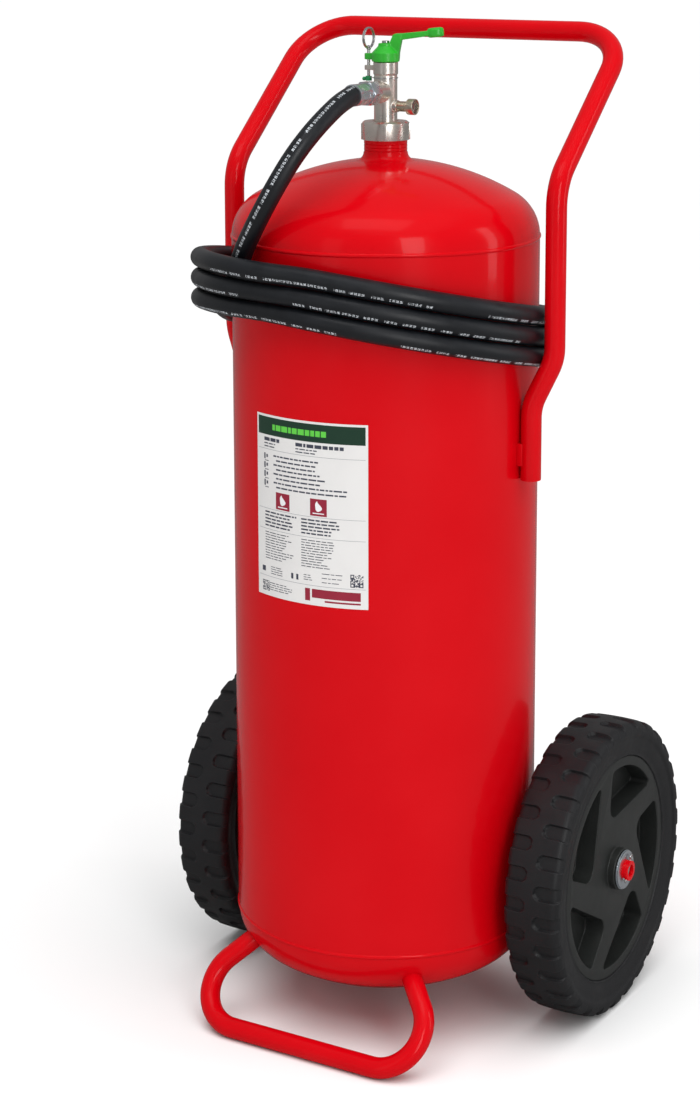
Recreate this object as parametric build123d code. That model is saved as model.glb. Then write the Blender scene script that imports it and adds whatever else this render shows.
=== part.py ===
from build123d import *
from math import asin, cos, pi, radians, sin, sqrt, tan
import os

# Wheeled fire extinguisher of the 50 litre class: a welded pressure vessel with a tube handle, a foot
# loop, two wheels on stub axles, a quarter-turn valve and a discharge hose wound round the vessel.
#
# Everything is drawn round the vessel's axis (X = 0, Y = 0), with the floor at Z = 0, the foot loop
# towards -Y and the wheels towards +Y. save() then moves each piece along Y, so that the origin is the
# middle of the footprint. Sizes are millimetres.

os.makedirs("parts", exist_ok=True)

# --- driving dimensions ---------------------------------------------------------------------------
tank_r = 150.0
tank_wall = 3.0
seam_low = 106.0
seam_high = 788.0
crown_r = 250.0
knuckle_r = 46.0

neck_r = 21.0
neck_bore_r = 16.0
neck_top = 891.0
nut_r = 22.8
nut_bottom = 880.6
nut_top = 898.6

body_r = 11.3
collar_r = 12.0
collar_bottom = 942.0
body_top = 955.0
chamber_r = 6.6
seat_z = 917.0
outlet_z = 927.0
outlet_boss_end = 26.0
hose_nut_flats = 22.0
hose_nut_end = 40.0
ferrule_r = 10.5
ferrule_end = 63.0
gauge_z = 913.0

lever_skirt_r = 13.4
lever_azimuth = 20.0
pin_x = -19.0
pin_r = 1.5
ring_mean_r = 9.7
ring_wire_r = 0.75
eye_z = 968.0

hose_d = 19.0
wrap_mid = 737.9
wrap_rise_front = 30.4
wrap_rise_left = 16.4
wrap_pitch = 19.8
wrap_r = 160.0
wrap_outer_r = 169.6
bulge_r = 120.0
bulge_offset = 68.5
bulge_angle = 50.0

tube_r = 10.0
tube_bore_r = 8.0
leg_x = 181.0
leg_y = 6.8
leg_foot_x = 160.4
leg_foot_z = 562.0
crossbar_y = 159.0
crossbar_z = 980.0
lean_start_z = 846.4

foot_y = -164.0
foot_slope = 50.2
foot_half_width = 120.0

wheel_r = 149.0
axle_y = 91.0
tyre_outer_x = 220.6
rim_r = 113.0
window_count = 5
window_phase = 19.5
axle_r = 10.0
axle_bore_r = 6.2
bush_r = 12.5
hub_r = 21.0
axle_end_x = 231.4

label_half_angle = 24.0
label_bottom = 453.0
label_top = 630.0

gun_x = -68.0
gun_y = 169.0
gun_top = 580.0
barrel_r = 14.0

front_y = foot_y - tube_r
rear_y = axle_y + wheel_r
frame_shift = -(front_y + rear_y) / 2

# --- small helpers --------------------------------------------------------------------------------


def rod_x(r, x0, x1, y, z):
    """Cylinder along X."""
    return Pos((x0 + x1) / 2, y, z) * Rot(0, 90, 0) * Cylinder(r, abs(x1 - x0))


def rod_y(r, y0, y1, x, z):
    """Cylinder along Y."""
    return Pos(x, (y0 + y1) / 2, z) * Rot(90, 0, 0) * Cylinder(r, abs(y1 - y0))


def rod_z(r, z0, z1, x=0.0, y=0.0):
    """Cylinder along Z."""
    return Pos(x, y, (z0 + z1) / 2) * Cylinder(r, abs(z1 - z0))


def ring_x(r_in, r_out, x0, x1, y, z):
    """Washer or sleeve along X."""
    return rod_x(r_out, x0, x1, y, z) - rod_x(r_in, x0 - 1, x1 + 1, y, z)


def ring_z(r_in, r_out, z0, z1, x=0.0, y=0.0):
    """Washer or sleeve along Z."""
    return rod_z(r_out, z0, z1, x, y) - rod_z(r_in, z0 - 1, z1 + 1, x, y)


def block(x0, x1, y0, y1, z0, z1):
    """Box given by its corners."""
    return Pos((x0 + x1) / 2, (y0 + y1) / 2, (z0 + z1) / 2) * Box(x1 - x0, y1 - y0, z1 - z0)


def lathe(outline):
    """Solid of revolution about Z from (radius, height) corners."""
    corners = [(r, 0, z) for r, z in outline]
    return revolve(make_face(Polyline(corners, close=True)), Axis.Z)


def swept(path, r):
    """Round bar along a path."""
    start = Plane(origin=path @ 0, z_dir=path % 0)
    return sweep(start * Circle(r), path=path)


def tube(path, r_out, r_in):
    """Hollow tube along a path."""
    return swept(path, r_out) - swept(path, r_in)


def mirror_x(shape):
    """The same piece on the other side."""
    return mirror(shape, about=Plane.YZ)


def polar(radius, angle, z):
    """Point at an angle round the vessel, counted from the front towards +X."""
    a = radians(angle)
    return (radius * sin(a), -radius * cos(a), z)


def corner_radii(points):
    """Largest arc at each corner of a hose route: 0.45 of the shorter run over tan(half the turn)."""
    radii = []
    for before, here, after in zip(points, points[1:], points[2:]):
        first = Vector(*here) - Vector(*before)
        second = Vector(*after) - Vector(*here)
        half = radians(first.get_angle(second)) / 2
        radii.append(0.45 * min(first.length, second.length) / tan(half))
    return radii


def save(name, shape):
    """Move a finished piece into the shared frame and write it."""
    export_step(Pos(0, frame_shift, 0) * shape, f"parts/{name}.step")


# --- pressure vessel ------------------------------------------------------------------------------


knuckle_x = tank_r - knuckle_r
crown_drop = sqrt((crown_r - knuckle_r) ** 2 - knuckle_x ** 2)


def head_face(wall=0.0):
    """Half section of a dished end on Z = 0: a knuckle arc that runs into a crown arc."""
    turn = asin(knuckle_x / (crown_r - knuckle_r))

    def on_crown(angle):
        return ((crown_r - wall) * sin(angle), 0, (crown_r - wall) * cos(angle) - crown_drop)

    def on_knuckle(angle):
        return (knuckle_x + (knuckle_r - wall) * sin(angle), 0, (knuckle_r - wall) * cos(angle))

    knuckle = ThreePointArc(on_knuckle(pi / 2), on_knuckle((pi / 2 + turn) / 2), on_knuckle(turn))
    crown = ThreePointArc(on_crown(turn), on_crown(turn / 2), on_crown(0))
    closing = Polyline(on_crown(0), (0, 0, 0), on_knuckle(pi / 2))
    return make_face(knuckle + crown + closing)


def head_solid():
    """Filled dished end, for trimming what meets a head."""
    return revolve(head_face(), Axis.Z)


def head_shell():
    """Dished end of the vessel's wall thickness."""
    return revolve(head_face() - head_face(tank_wall), Axis.Z)


def weld_bead(z):
    """Low crowned bead round the vessel."""
    half_width = 3.0
    crown = 0.9
    return lathe([(tank_r, z - half_width), (tank_r + crown, z - 1), (tank_r + crown, z + 1),
                  (tank_r, z + half_width)])


tank_solid = rod_z(tank_r, seam_low, seam_high)
top_place = Pos(0, 0, seam_high)
bottom_place = Pos(0, 0, seam_low) * Rot(180, 0, 0)
top_solid = top_place * head_solid()
bottom_solid = bottom_place * head_solid()

tank_shell = ring_z(tank_r - tank_wall, tank_r, seam_low, seam_high)
top_head = top_place * head_shell() - rod_z(neck_r, seam_high, neck_top)
bottom_head = bottom_place * head_shell()

neck_collar = ring_z(neck_bore_r, neck_r, 852, neck_top)
for groove in range(3):
    z = 870.0 + 3.2 * groove
    neck_collar -= lathe([(neck_r - 0.6, z), (neck_r + 1, z - 0.8), (neck_r + 1, z + 0.8)])
neck_bead = lathe([(neck_r, 856), (neck_r + 7, 856), (neck_r + 7, 861), (neck_r + 3, 862.6),
                   (neck_r + 0.9, 865), (neck_r, 868)]) - top_solid
weld_seams = Compound([weld_bead(seam_low), weld_bead(seam_high), neck_bead])

# --- handle frame and foot loop -------------------------------------------------------------------
joggle_low_z = 634.0
joggle_high_z = 680.0
half_path = [(-leg_foot_x, 0, leg_foot_z), (-leg_foot_x, 0, joggle_low_z), (-leg_x, leg_y, joggle_high_z),
             (-leg_x, leg_y, lean_start_z), (-leg_x, crossbar_y, crossbar_z)]
handle_points = half_path + [(-x, y, z) for x, y, z in reversed(half_path)]
joggle_bend_r = 50.0
lean_bend_r = 50.0
corner_bend_r = 52.0
half_radii = [joggle_bend_r, joggle_bend_r, lean_bend_r]
handle_path = FilletPolyline(*handle_points,
                             radius=half_radii + [corner_bend_r, corner_bend_r] + half_radii[::-1])
handle_frame = tube(handle_path, tube_r, tube_bore_r)

weld_lug = block(148, 157, -9, 9, 576, 598) - tank_solid - rod_z(tube_r, 560, 634, leg_foot_x, 0)
handle_welds = Compound([weld_lug, mirror_x(weld_lug)])


def on_foot_plane(x, reach):
    """Point of the foot loop's tilted plane, reach being counted from the floor bar."""
    a = radians(foot_slope)
    return (x, foot_y + reach * cos(a), tube_r + reach * sin(a))


foot_half = [(-90, 92), (-foot_half_width, 55), (-foot_half_width, 0)]
foot_points = [on_foot_plane(x, s) for x, s in foot_half + [(-x, s) for x, s in reversed(foot_half)]]
foot_path = FilletPolyline(*foot_points, radius=[40, 40, 40, 40])
foot_bar = tube(foot_path, tube_r, tube_bore_r) - bottom_solid
foot_bar = foot_bar.solids().sort_by(SortBy.VOLUME)[-1]

# --- wheels and axles (right side, +X; the left side is its mirror image) -------------------------
axle_z = wheel_r
pad_wall = 4.0
pad_half = 34.0
washer_x = 223.4
washer_wall = 1.3
split_pin_x = 228.6
split_pin_r = 1.1
split_pin_tilt = 30.0


def split_pin_place(shape):
    """Turn a piece drawn about Z into the split pin's hole through the axle."""
    return Pos(split_pin_x, axle_y, axle_z) * Rot(-split_pin_tilt, 0, 0) * shape


def axle_parts():
    """Pad on the vessel, stub axle, inner stop collar, washers and split pin."""
    pad = ring_z(tank_r, tank_r + pad_wall, axle_z - pad_half, axle_z + pad_half)
    pad &= block(100, 160, axle_y - pad_half, axle_y + pad_half, 0, 400)
    pad_solid = rod_z(tank_r + pad_wall, axle_z - 100, axle_z + 100)
    stub = ring_x(axle_bore_r, axle_r, 100, axle_end_x, axle_y, axle_z) - pad_solid
    stub -= split_pin_place(Cylinder(split_pin_r + 0.1, 60))
    gusset = extrude(Plane.XZ.offset(-axle_y - 2.5) * make_face(Polyline(
        (112, axle_z - pad_half + 3), (140, axle_z - axle_r), (112, axle_z - axle_r), close=True)), 5)
    gusset -= pad_solid
    gusset -= rod_x(axle_r, 100, 200, axle_y, axle_z)
    stop = ring_x(axle_r, 16, 152, 157, axle_y, axle_z)
    washers = Compound([
        ring_x(axle_r + 0.3, 19.8, washer_x, washer_x + washer_wall, axle_y, axle_z),
        ring_x(axle_r + 0.3, 19.2, washer_x + washer_wall, washer_x + 2 * washer_wall, axle_y, axle_z)])
    eye = Pos(0, 0, 13.6) * Rot(0, 90, 0) * Torus(2.4, 0.9)
    shank = rod_z(split_pin_r, -11.5, 12)
    leg = Pos(0, -3.3, -11.2) * Rot(70, 0, 0) * Cylinder(0.9, 7.5)
    pin = split_pin_place(eye + shank + leg)
    return {"axle_bracket": Compound([pad, gusset]), "stub_axle": stub, "axle_stop_collar": stop,
            "axle_washers": washers, "split_pin": pin}


def wheel_window():
    """Slanted pocket between two spokes, in the wheel's plane, with X towards the rim: two straight
    sides meet at a round heel near the hub, and one of them runs out to a narrow tip at the rim."""
    outer = 103.0
    heel = (44.0, 32.5)
    shoulder_angle, tip_angle = radians(25), radians(-32.5)
    mid_angle = (shoulder_angle + tip_angle) / 2
    shoulder, mid, tip = [(outer * cos(a), outer * sin(a)) for a in (shoulder_angle, mid_angle, tip_angle)]
    face = make_face(Polyline(shoulder, heel, tip) + ThreePointArc(tip, mid, shoulder))
    face = fillet(face.vertices().sort_by(Axis.X)[0], 13)
    face = fillet(face.vertices().sort_by(Axis.Y)[-1], 7)
    return fillet(face.vertices().sort_by(Axis.Y)[0], 4)


def wheel_parts():
    """Rim with blind pockets on both faces, solid rubber tyre and two bushes, all about the axle."""
    hub_in, hub_out = 158.0, 222.8
    face_in, face_out = 168.0, 215.0
    web_half = 2.5
    middle = (face_in + face_out) / 2
    rim = rod_x(rim_r, face_in, face_out, 0, 0) + rod_x(hub_r, hub_in, hub_out, 0, 0)
    rim -= rod_x(bush_r, hub_in - 1, hub_out + 1, 0, 0)
    window = wheel_window()
    for k in range(window_count):
        turn = Plane(origin=(0, 0, 0), x_dir=(0, 0, 1), z_dir=(1, 0, 0)).rotated(
            (-(window_phase + 360 / window_count * k), 0, 0))
        outer_cut = extrude(turn.offset(middle + web_half) * window, face_out - middle)
        inner_cut = extrude(turn.offset(face_in - 1) * window, middle - web_half - face_in + 1)
        rim = rim - outer_cut - inner_cut
    profile = [(rim_r, face_in), (rim_r, face_out), (rim_r + 1.5, face_out + 1.6), (133, 220.2),
               (140, tyre_outer_x), (145.6, 219.2), (148.2, 216), (wheel_r, 208)]
    half = [(r, x) for r, x in profile[2:]]
    mirrored = [(r, 2 * middle - x) for r, x in reversed(half)]
    tyre = Rot(0, 90, 0) * lathe([profile[0], profile[1]] + half + mirrored)
    bushes = Compound([ring_x(axle_r + 0.06, bush_r, hub_in, hub_in + 22, 0, 0),
                       ring_x(axle_r + 0.06, bush_r, hub_out - 22, hub_out, 0, 0)])
    place = Pos(0, axle_y, axle_z)
    return {"wheel_rim": place * rim, "tyre": place * tyre, "hub_bushes": place * bushes}


# --- valve ----------------------------------------------------------------------------------------
socket_r = 9.0
stem_r = 3.5
dip_bottom = 45.0


def valve_body_solid():
    """Nickel-plated valve body with its flange, spigot, outlet, gauge boss and pin lug."""
    body = rod_z(15.4, 871, 893) + rod_z(20, 893, 896) + rod_z(body_r, 896, collar_bottom)
    body += rod_z(collar_r, collar_bottom + 1.2, body_top) + rod_z(body_r - 0.5, 941, 944)
    body += rod_y(9.8, 0, -outlet_boss_end, 0, outlet_z)
    body += rod_y(7.8, -outlet_boss_end, -outlet_boss_end - 11, 0, outlet_z)
    body += rod_x(5.8, 0, 14.2, 0, gauge_z)
    lug = block(pin_x - 1, -8, -4, 4, 947, 951.5) + rod_z(4, 947, 951.5, pin_x, 0)
    body += lug
    body -= block(pin_x - 1.85, pin_x + 2.7, 0, 8, 945, 953)
    body -= rod_z(1.85, 945, 953, pin_x, 0)
    body -= rod_z(socket_r, 870, 889)
    body -= rod_z(4.5, 888, seat_z + 1)
    body -= rod_z(chamber_r, seat_z, body_top + 1)
    body -= rod_y(5.0, 0, -outlet_boss_end - 12, 0, outlet_z)
    body -= rod_x(1.5, 0, 15, 0, gauge_z)
    return body


def hose_nut_solid():
    """Swivel nut of the hose, a chamfered hexagon."""
    depth = hose_nut_end - outlet_boss_end
    nut = extrude(RegularPolygon(hose_nut_flats / 2, 6, major_radius=False), depth)
    round_off = Cone(hose_nut_flats / 2 + 3.4, hose_nut_flats / 2 + 0.4, 3)
    nut &= Pos(0, 0, depth - 1.5) * round_off + rod_z(20, -1, depth - 3)
    nut -= rod_z(7.8, -1, 12.5)
    nut -= rod_z(6.4, 12, depth + 1)
    return Pos(0, -outlet_boss_end, outlet_z) * Rot(90, 0, 0) * nut


def ferrule_solid(length):
    """Hose ferrule along Z with eight pressed flats, drawn together with the hose end crimped in it."""
    sleeve = ring_z(6.4, ferrule_r, 0, length)
    for k in range(8):
        flat = block(9.9, 12, -3.4, 3.4, 5, length - 5)
        sleeve -= Rot(0, 0, 45 * k) * flat
    return sleeve


def lever_solid():
    """Quarter-turn lever: skirt, cone, top boss, risen arm with its paddle, and the pin lug."""
    cap = lathe([(0, 955.4), (lever_skirt_r, 955.4), (lever_skirt_r, 964), (12.2, 965.2), (7.4, 970.2),
                 (7.0, 973), (0, 973)])
    neck = make_face(Polyline((2.5, 960), (3.5, 971.5), (7.5, 981.2), (9.5, 982.2), (15, 982.4),
                              (15.8, 975.6), (13.6, 964), (13.2, 957), close=True))
    arm = make_face(Polyline((10, 982.3), (16, 982.5), (42, 985.2), (42, 980.2), (15.6, 976.2),
                             (12, 974), close=True))
    upright = extrude(Plane.XZ.offset(-4.6) * neck, 9.2)
    reach = extrude(Plane.XZ.offset(-3.4) * arm, 6.8)
    paddle = Pos(48.5, 0, 983.6) * Rot(0, -6, 0) * extrude(Ellipse(8.0, 5.4), 4.6, both=True)
    paddle = fillet(paddle.edges().filter_by(GeomType.ELLIPSE), 2.6)
    lever = cap + Rot(0, 0, lever_azimuth) * (upright + reach + paddle)
    lever += block(pin_x, -8, -4, 4, 957, 963) + rod_z(4, 957, 963, pin_x, 0)
    lever -= rod_z(pin_r + 0.2, 950, 970, pin_x, 0)
    lever -= rod_z(7.4, 950, 958) + rod_z(5, 950, 967)
    lever -= rod_z(2.4, 960, 975)
    return lever


def safety_pin_solid():
    """Straight pin with an eye for the pull ring."""
    eye = Pos(pin_x, 0, eye_z) * Rot(90, 0, 0) * Torus(1.9, 0.7)
    return rod_z(pin_r, 937, eye_z - 1.9, pin_x, 0) + eye


def pull_ring_solid():
    """Two flat coils of wire, drawn as one round ring standing in the eye."""
    return Pos(pin_x, 0, eye_z + ring_mean_r) * Rot(0, 90, 0) * Torus(ring_mean_r, ring_wire_r)


ring_nut = ring_z(neck_r + 0.02, nut_r, nut_bottom, neck_top + 5)
ring_nut += lathe([(12.4, 896), (nut_r, 896), (nut_r, 897), (nut_r - 2, nut_top), (12.4, nut_top)])
for k in range(4):
    ring_nut += Rot(0, 0, -60 + 90 * k) * block(nut_r - 0.6, nut_r + 1.0, -1.4, 1.4, nut_bottom, 896)

neck_seal = ring_z(neck_bore_r + 0.5, 20, neck_top, 893)
dip_tube = ring_z(6.5, socket_r, dip_bottom, 889)
strainer = ring_z(socket_r, 12, dip_bottom - 8, dip_bottom + 30) + rod_z(12, dip_bottom - 8, dip_bottom - 6)
for k in range(6):
    for row in range(3):
        slot = block(0, 14, -1.5, 1.5, dip_bottom - 4, dip_bottom - 1)
        strainer -= Pos(0, 0, 10 * row) * Rot(0, 0, 60 * k + 20 * row) * slot

valve_plug = rod_z(6.2, seat_z, seat_z + 6) + rod_z(stem_r, seat_z + 6, 958.5)
bonnet = ring_z(stem_r + 0.06, chamber_r, 939, body_top)
spring_turns = 4
spring_r = 5.1
spring_wire_r = 0.6
spring_low = seat_z + 6 + spring_wire_r + 0.1
spring_high = 939 - spring_wire_r - 0.1
spring_path = Helix(pitch=(spring_high - spring_low) / spring_turns, height=spring_high - spring_low,
                    radius=spring_r)
valve_spring = Pos(0, 0, spring_low) * swept(spring_path, spring_wire_r)

lever_screw = rod_z(3.6, 973, 975.4) + rod_z(2.3, 967.2, 973)
lever_screw -= Pos(0, 0, 974) * extrude(RegularPolygon(1.6, 6), 2)

seal_bead = ring_z(1.9, 3.1, 936.5, 941, pin_x, 0) - block(pin_x - 1.4, pin_x + 2.7, 0, 5, 930, 945)
seal_bead += Pos(pin_x - 4.4, -1.2, 938.4) * Sphere(1.9)
seal_wire = ring_z(body_r, body_r + 0.7, 939.4, 940.2) + block(-16.0, -11.4, -1.3, -0.7, 939.4, 940.2)

gauge_case = rod_x(5, 14.2, 25.6, 0, gauge_z) + rod_x(7.75, 25.6, 33, 0, gauge_z)
gauge_case -= rod_x(6.6, 27, 34, 0, gauge_z)
gauge_case -= rod_x(1.5, 14, 25, 0, gauge_z)
gauge_dial = rod_x(6.5, 27, 27.4, 0, gauge_z)
gauge_lens = rod_x(6.6, 31.2, 32.4, 0, gauge_z)
needle_tilt = -35.0
gauge_needle = rod_x(0.9, 27.5, 28.6, 0, 0) + block(27.8, 28.2, -0.35, 0.35, -1.8, 5.2)
gauge_needle = Pos(0, 0, gauge_z) * Rot(needle_tilt, 0, 0) * gauge_needle

outlet_seal = rod_y(7.4, -37, -37.9, 0, outlet_z) - rod_y(5.2, -36, -39, 0, outlet_z)
hose_tail = rod_y(6.3, -38, -62.9, 0, outlet_z) + rod_y(7.6, -37.9, -38.5, 0, outlet_z)
hose_tail -= rod_y(4.6, -36, -64, 0, outlet_z)
hose_ferrule = Pos(0, -hose_nut_end, outlet_z) * Rot(90, 0, 0) * ferrule_solid(ferrule_end - hose_nut_end)

# --- hose -----------------------------------------------------------------------------------------
lead_route = [(0, -63, 927), (0, -80.5, 923), (-0.5, -103, 913.5), (-5.5, -126, 897.5),
              (-14.5, -145, 875.5), (-27, -156.5, 848), (-45, -158.5, 817), (-66, -149, 788.5),
              polar(161.2, -29.8, 766.5)]
tail_route = [polar(166, -104, 747), polar(178, -119, 743), polar(184, -134, 727), polar(185.5, -147, 697),
              polar(184.5, -154.5, 657), (gun_x, gun_y + 0.5, 616), (gun_x, gun_y, gun_top)]


def hose_piece(name, points):
    """Plain tube along a route, with its arcs and its volume printed."""
    radii = corner_radii(points)
    path = FilletPolyline(*points, radius=radii)
    solid = swept(path, hose_d / 2)
    expected = pi * hose_d ** 2 / 4 * path.length
    print(name, "length", round(path.length, 1), "radii", [round(r) for r in radii],
          "volume ratio", round(solid.volume / expected, 4))
    return solid


def tilted_plane(level_front, level_back, level_left, level_right):
    """Plane parallel or nearly parallel to the turns: levels are counted from the top turn's middle."""
    mid = (level_front + level_back) / 2
    rise_front = wrap_rise_front + (level_front - level_back) / 2
    rise_left = wrap_rise_left + (level_left - level_right) / 2
    normal = Vector(rise_left / wrap_r, rise_front / wrap_r, 1)
    return Plane(origin=(0, 0, wrap_mid + mid), z_dir=normal)


hose_lead = hose_piece("hose_lead", lead_route)
hose_run = hose_piece("hose_run", tail_route)

bulge_x, bulge_y, _ = polar(bulge_offset, -bulge_angle, 0)
coil_plan = Circle(wrap_outer_r) + Pos(bulge_x, bulge_y) * Circle(bulge_r) - Circle(tank_r + 0.35)
hose_coil = extrude(Pos(0, 0, 600) * coil_plan, 260)
top_level = hose_d / 2
low_front = -2 * wrap_pitch - hose_d / 2
low_left = -3 * wrap_pitch - hose_d / 2
hose_coil = split(hose_coil, tilted_plane(top_level, top_level, top_level, top_level), keep=Keep.BOTTOM)
hose_coil = split(hose_coil, tilted_plane(low_front, low_left, low_left, low_front), keep=Keep.TOP)
hose_coil -= swept(handle_path, tube_r + 0.4)

# --- discharge gun and its holder -----------------------------------------------------------------
gun_ferrule = Pos(gun_x, gun_y, gun_top - 24) * ferrule_solid(24)
hinge_y = gun_y + 21.0
hinge_z = 540.0
plunger_z = 522.0

grip_profile = [(0, 424), (barrel_r - 1, 424), (barrel_r, 425)]
for k in range(5):
    rib = 436 + 16 * k
    grip_profile += [(barrel_r, rib), (barrel_r + 1.2, rib + 1.2), (barrel_r + 1.2, rib + 4.8),
                     (barrel_r, rib + 6)]
grip_profile += [(barrel_r, 545), (barrel_r - 1.5, 547.5), (11.5, 551), (11.5, gun_top - 25),
                 (10.7, gun_top - 24), (0, gun_top - 24)]
gun_body = Pos(gun_x, gun_y, 0) * lathe(grip_profile)
gun_body += block(gun_x - 7, gun_x + 7, gun_y, hinge_y + 5, 532, 548)
gun_body -= block(gun_x - 4.2, gun_x + 4.2, gun_y + barrel_r + 1, hinge_y + 6, 520, 549)
gun_body -= rod_x(2.05, gun_x - 8, gun_x + 8, hinge_y, hinge_z)
gun_body -= rod_z(7, 440, 560, gun_x, gun_y)
gun_body -= rod_z(9.02, 420, 440, gun_x, gun_y)
gun_body -= rod_y(2.6, gun_y, gun_y + 20, gun_x, plunger_z)

gun_hinge_pin = rod_x(2.0, gun_x - 8.5, gun_x + 8.5, hinge_y, hinge_z)
lever_profile = make_face(Polyline((hinge_y - 5, 544), (hinge_y + 5, 546), (gun_y + 37, 500),
                                   (gun_y + 38, 440), (gun_y + 33, 432), (gun_y + 31, 440),
                                   (gun_y + 30.5, 498), (hinge_y - 2, 531), close=True))
gun_lever = extrude(Plane.YZ.offset(gun_x - 3.8) * lever_profile, 7.6)
gun_lever -= rod_x(2.06, gun_x - 8, gun_x + 8, hinge_y, hinge_z)
gun_plunger = rod_y(2.5, gun_y + 8, gun_y + 21.3, gun_x, plunger_z)

lance_tube = rod_z(9, 300, 440, gun_x, gun_y) - rod_z(7, 298, 442, gun_x, gun_y)
nozzle_tip = Pos(gun_x, gun_y, 0) * lathe([(4, 262), (12.5, 262), (12.5, 268), (10.6, 296), (10.6, 312),
                                           (9.0, 312), (9.0, 300), (4, 300)])


def holder_strap(z0, z1, wall_r):
    """Flat arm from the vessel's back to the holder."""
    arm = block(gun_x - 9, gun_x + 9, 100, gun_y - wall_r + 1.5, z0, z1)
    return arm - tank_solid


cup = ring_z(13.2, 16, 246, 292, gun_x, gun_y) + rod_z(16, 246, 250, gun_x, gun_y)
cup -= rod_z(5, 240, 252, gun_x, gun_y)
nozzle_cup = cup + (holder_strap(258, 284, 16) - rod_z(14, 240, 300, gun_x, gun_y))

clip = ring_z(barrel_r + 1.5, barrel_r + 4, 462, 478, gun_x, gun_y)
clip -= block(gun_x - 11, gun_x + 11, gun_y + 5, gun_y + 30, 450, 490)
holder_clip = clip + (holder_strap(464, 476, 18) - rod_z(barrel_r + 2, 440, 500, gun_x, gun_y))

# --- label ----------------------------------------------------------------------------------------
label = ring_z(tank_r + 0.02, tank_r + 0.35, label_bottom, label_top)
label_chord = tank_r * sin(radians(label_half_angle))
label &= block(-label_chord, label_chord, -200, -100, 0, 1000)

# --- write the pieces -----------------------------------------------------------------------------
pieces = {
    "tank_shell": tank_shell, "top_head": top_head, "bottom_head": bottom_head,
    "neck_collar": neck_collar, "weld_seams": weld_seams, "handle_frame": handle_frame,
    "handle_welds": handle_welds, "foot_bar": foot_bar, "label": label,
    "ring_nut": ring_nut, "neck_seal": neck_seal, "dip_tube": dip_tube, "dip_tube_strainer": strainer,
    "valve_body": valve_body_solid(), "valve_plug": valve_plug, "valve_bonnet": bonnet,
    "valve_spring": valve_spring, "valve_lever": lever_solid(), "lever_screw": lever_screw,
    "safety_pin": safety_pin_solid(), "pull_ring": pull_ring_solid(), "seal_bead": seal_bead,
    "seal_wire": seal_wire, "gauge_case": gauge_case, "gauge_dial": gauge_dial,
    "gauge_lens": gauge_lens, "gauge_needle": gauge_needle, "outlet_seal": outlet_seal,
    "hose_nut": hose_nut_solid(), "hose_tail": hose_tail, "hose_ferrule": hose_ferrule,
    "hose_lead": hose_lead, "hose_coil": hose_coil, "hose_run": hose_run,
    "gun_ferrule": gun_ferrule, "gun_body": gun_body, "gun_hinge_pin": gun_hinge_pin,
    "gun_lever": gun_lever, "gun_plunger": gun_plunger, "lance_tube": lance_tube,
    "nozzle_tip": nozzle_tip, "nozzle_cup": nozzle_cup, "holder_clip": holder_clip,
}
for name, shape in {**axle_parts(), **wheel_parts()}.items():
    pieces[name + "_right"] = shape
    pieces[name + "_left"] = mirror_x(shape)

for name, shape in pieces.items():
    save(name, shape)
print(len(pieces), "pieces, moved by", frame_shift)
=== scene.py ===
"""Looks of a wheeled fire extinguisher, laid out as a Blender add-on.

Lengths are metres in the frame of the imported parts: +Z up, the label and the foot loop towards -Y, the
pressure gauge towards +X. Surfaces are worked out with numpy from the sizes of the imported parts.
"""
import math

import bmesh
import bpy
import numpy as np
from bpy.props import FloatProperty, FloatVectorProperty, IntProperty, PointerProperty
from mathutils import Matrix, Vector


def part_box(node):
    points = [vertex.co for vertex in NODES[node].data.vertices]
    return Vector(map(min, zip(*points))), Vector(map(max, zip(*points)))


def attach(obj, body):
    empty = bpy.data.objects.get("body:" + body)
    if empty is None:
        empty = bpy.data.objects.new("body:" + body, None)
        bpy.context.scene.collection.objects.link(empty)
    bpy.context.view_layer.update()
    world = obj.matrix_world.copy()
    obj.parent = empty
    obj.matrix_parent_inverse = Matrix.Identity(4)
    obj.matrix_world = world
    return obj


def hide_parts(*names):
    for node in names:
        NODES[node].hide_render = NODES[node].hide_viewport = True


bl_info = {
    "name": "Wheeled fire extinguisher",
    "version": (1, 0, 0),
    "blender": (4, 5, 0),
    "location": "View3D > Sidebar > Extinguisher",
    "description": "Builds the pieces, paints and finishes of a wheeled fire extinguisher",
    "category": "Add Mesh",
}

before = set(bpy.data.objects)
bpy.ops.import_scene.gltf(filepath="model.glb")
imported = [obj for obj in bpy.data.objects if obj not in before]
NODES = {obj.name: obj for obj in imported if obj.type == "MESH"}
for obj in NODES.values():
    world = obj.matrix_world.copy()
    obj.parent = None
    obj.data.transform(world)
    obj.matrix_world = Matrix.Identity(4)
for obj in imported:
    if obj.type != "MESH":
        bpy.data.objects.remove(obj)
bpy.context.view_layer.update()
SIDES = (("right", 1.0), ("left", -1.0))
TAU = 2 * math.pi
WELD_DISTANCE = 1e-6
PART_WELD_DISTANCE = 2e-6
FLAT_ANGLE = math.radians(0.6)
EDGE_ANGLE = math.radians(30)


def low(node):
    """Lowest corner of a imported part."""
    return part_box(node)[0]


def high(node):
    """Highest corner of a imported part."""
    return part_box(node)[1]


def middle(node):
    """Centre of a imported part's box."""
    return (low(node) + high(node)) / 2


TANK_R = (high("tank_shell").x - low("tank_shell").x) / 2
TANK_Y = middle("tank_shell").y
SEAM_LOW = low("tank_shell").z
SEAM_HIGH = high("tank_shell").z
AXLE = middle("tyre_right")
TYRE_R = high("tyre_right").z - AXLE.z
TYRE_HALF = (high("tyre_right").x - low("tyre_right").x) / 2
RIM_R = high("wheel_rim_right").z - middle("wheel_rim_right").z


# --- settings a user would change -----------------------------------------------------------------


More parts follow.
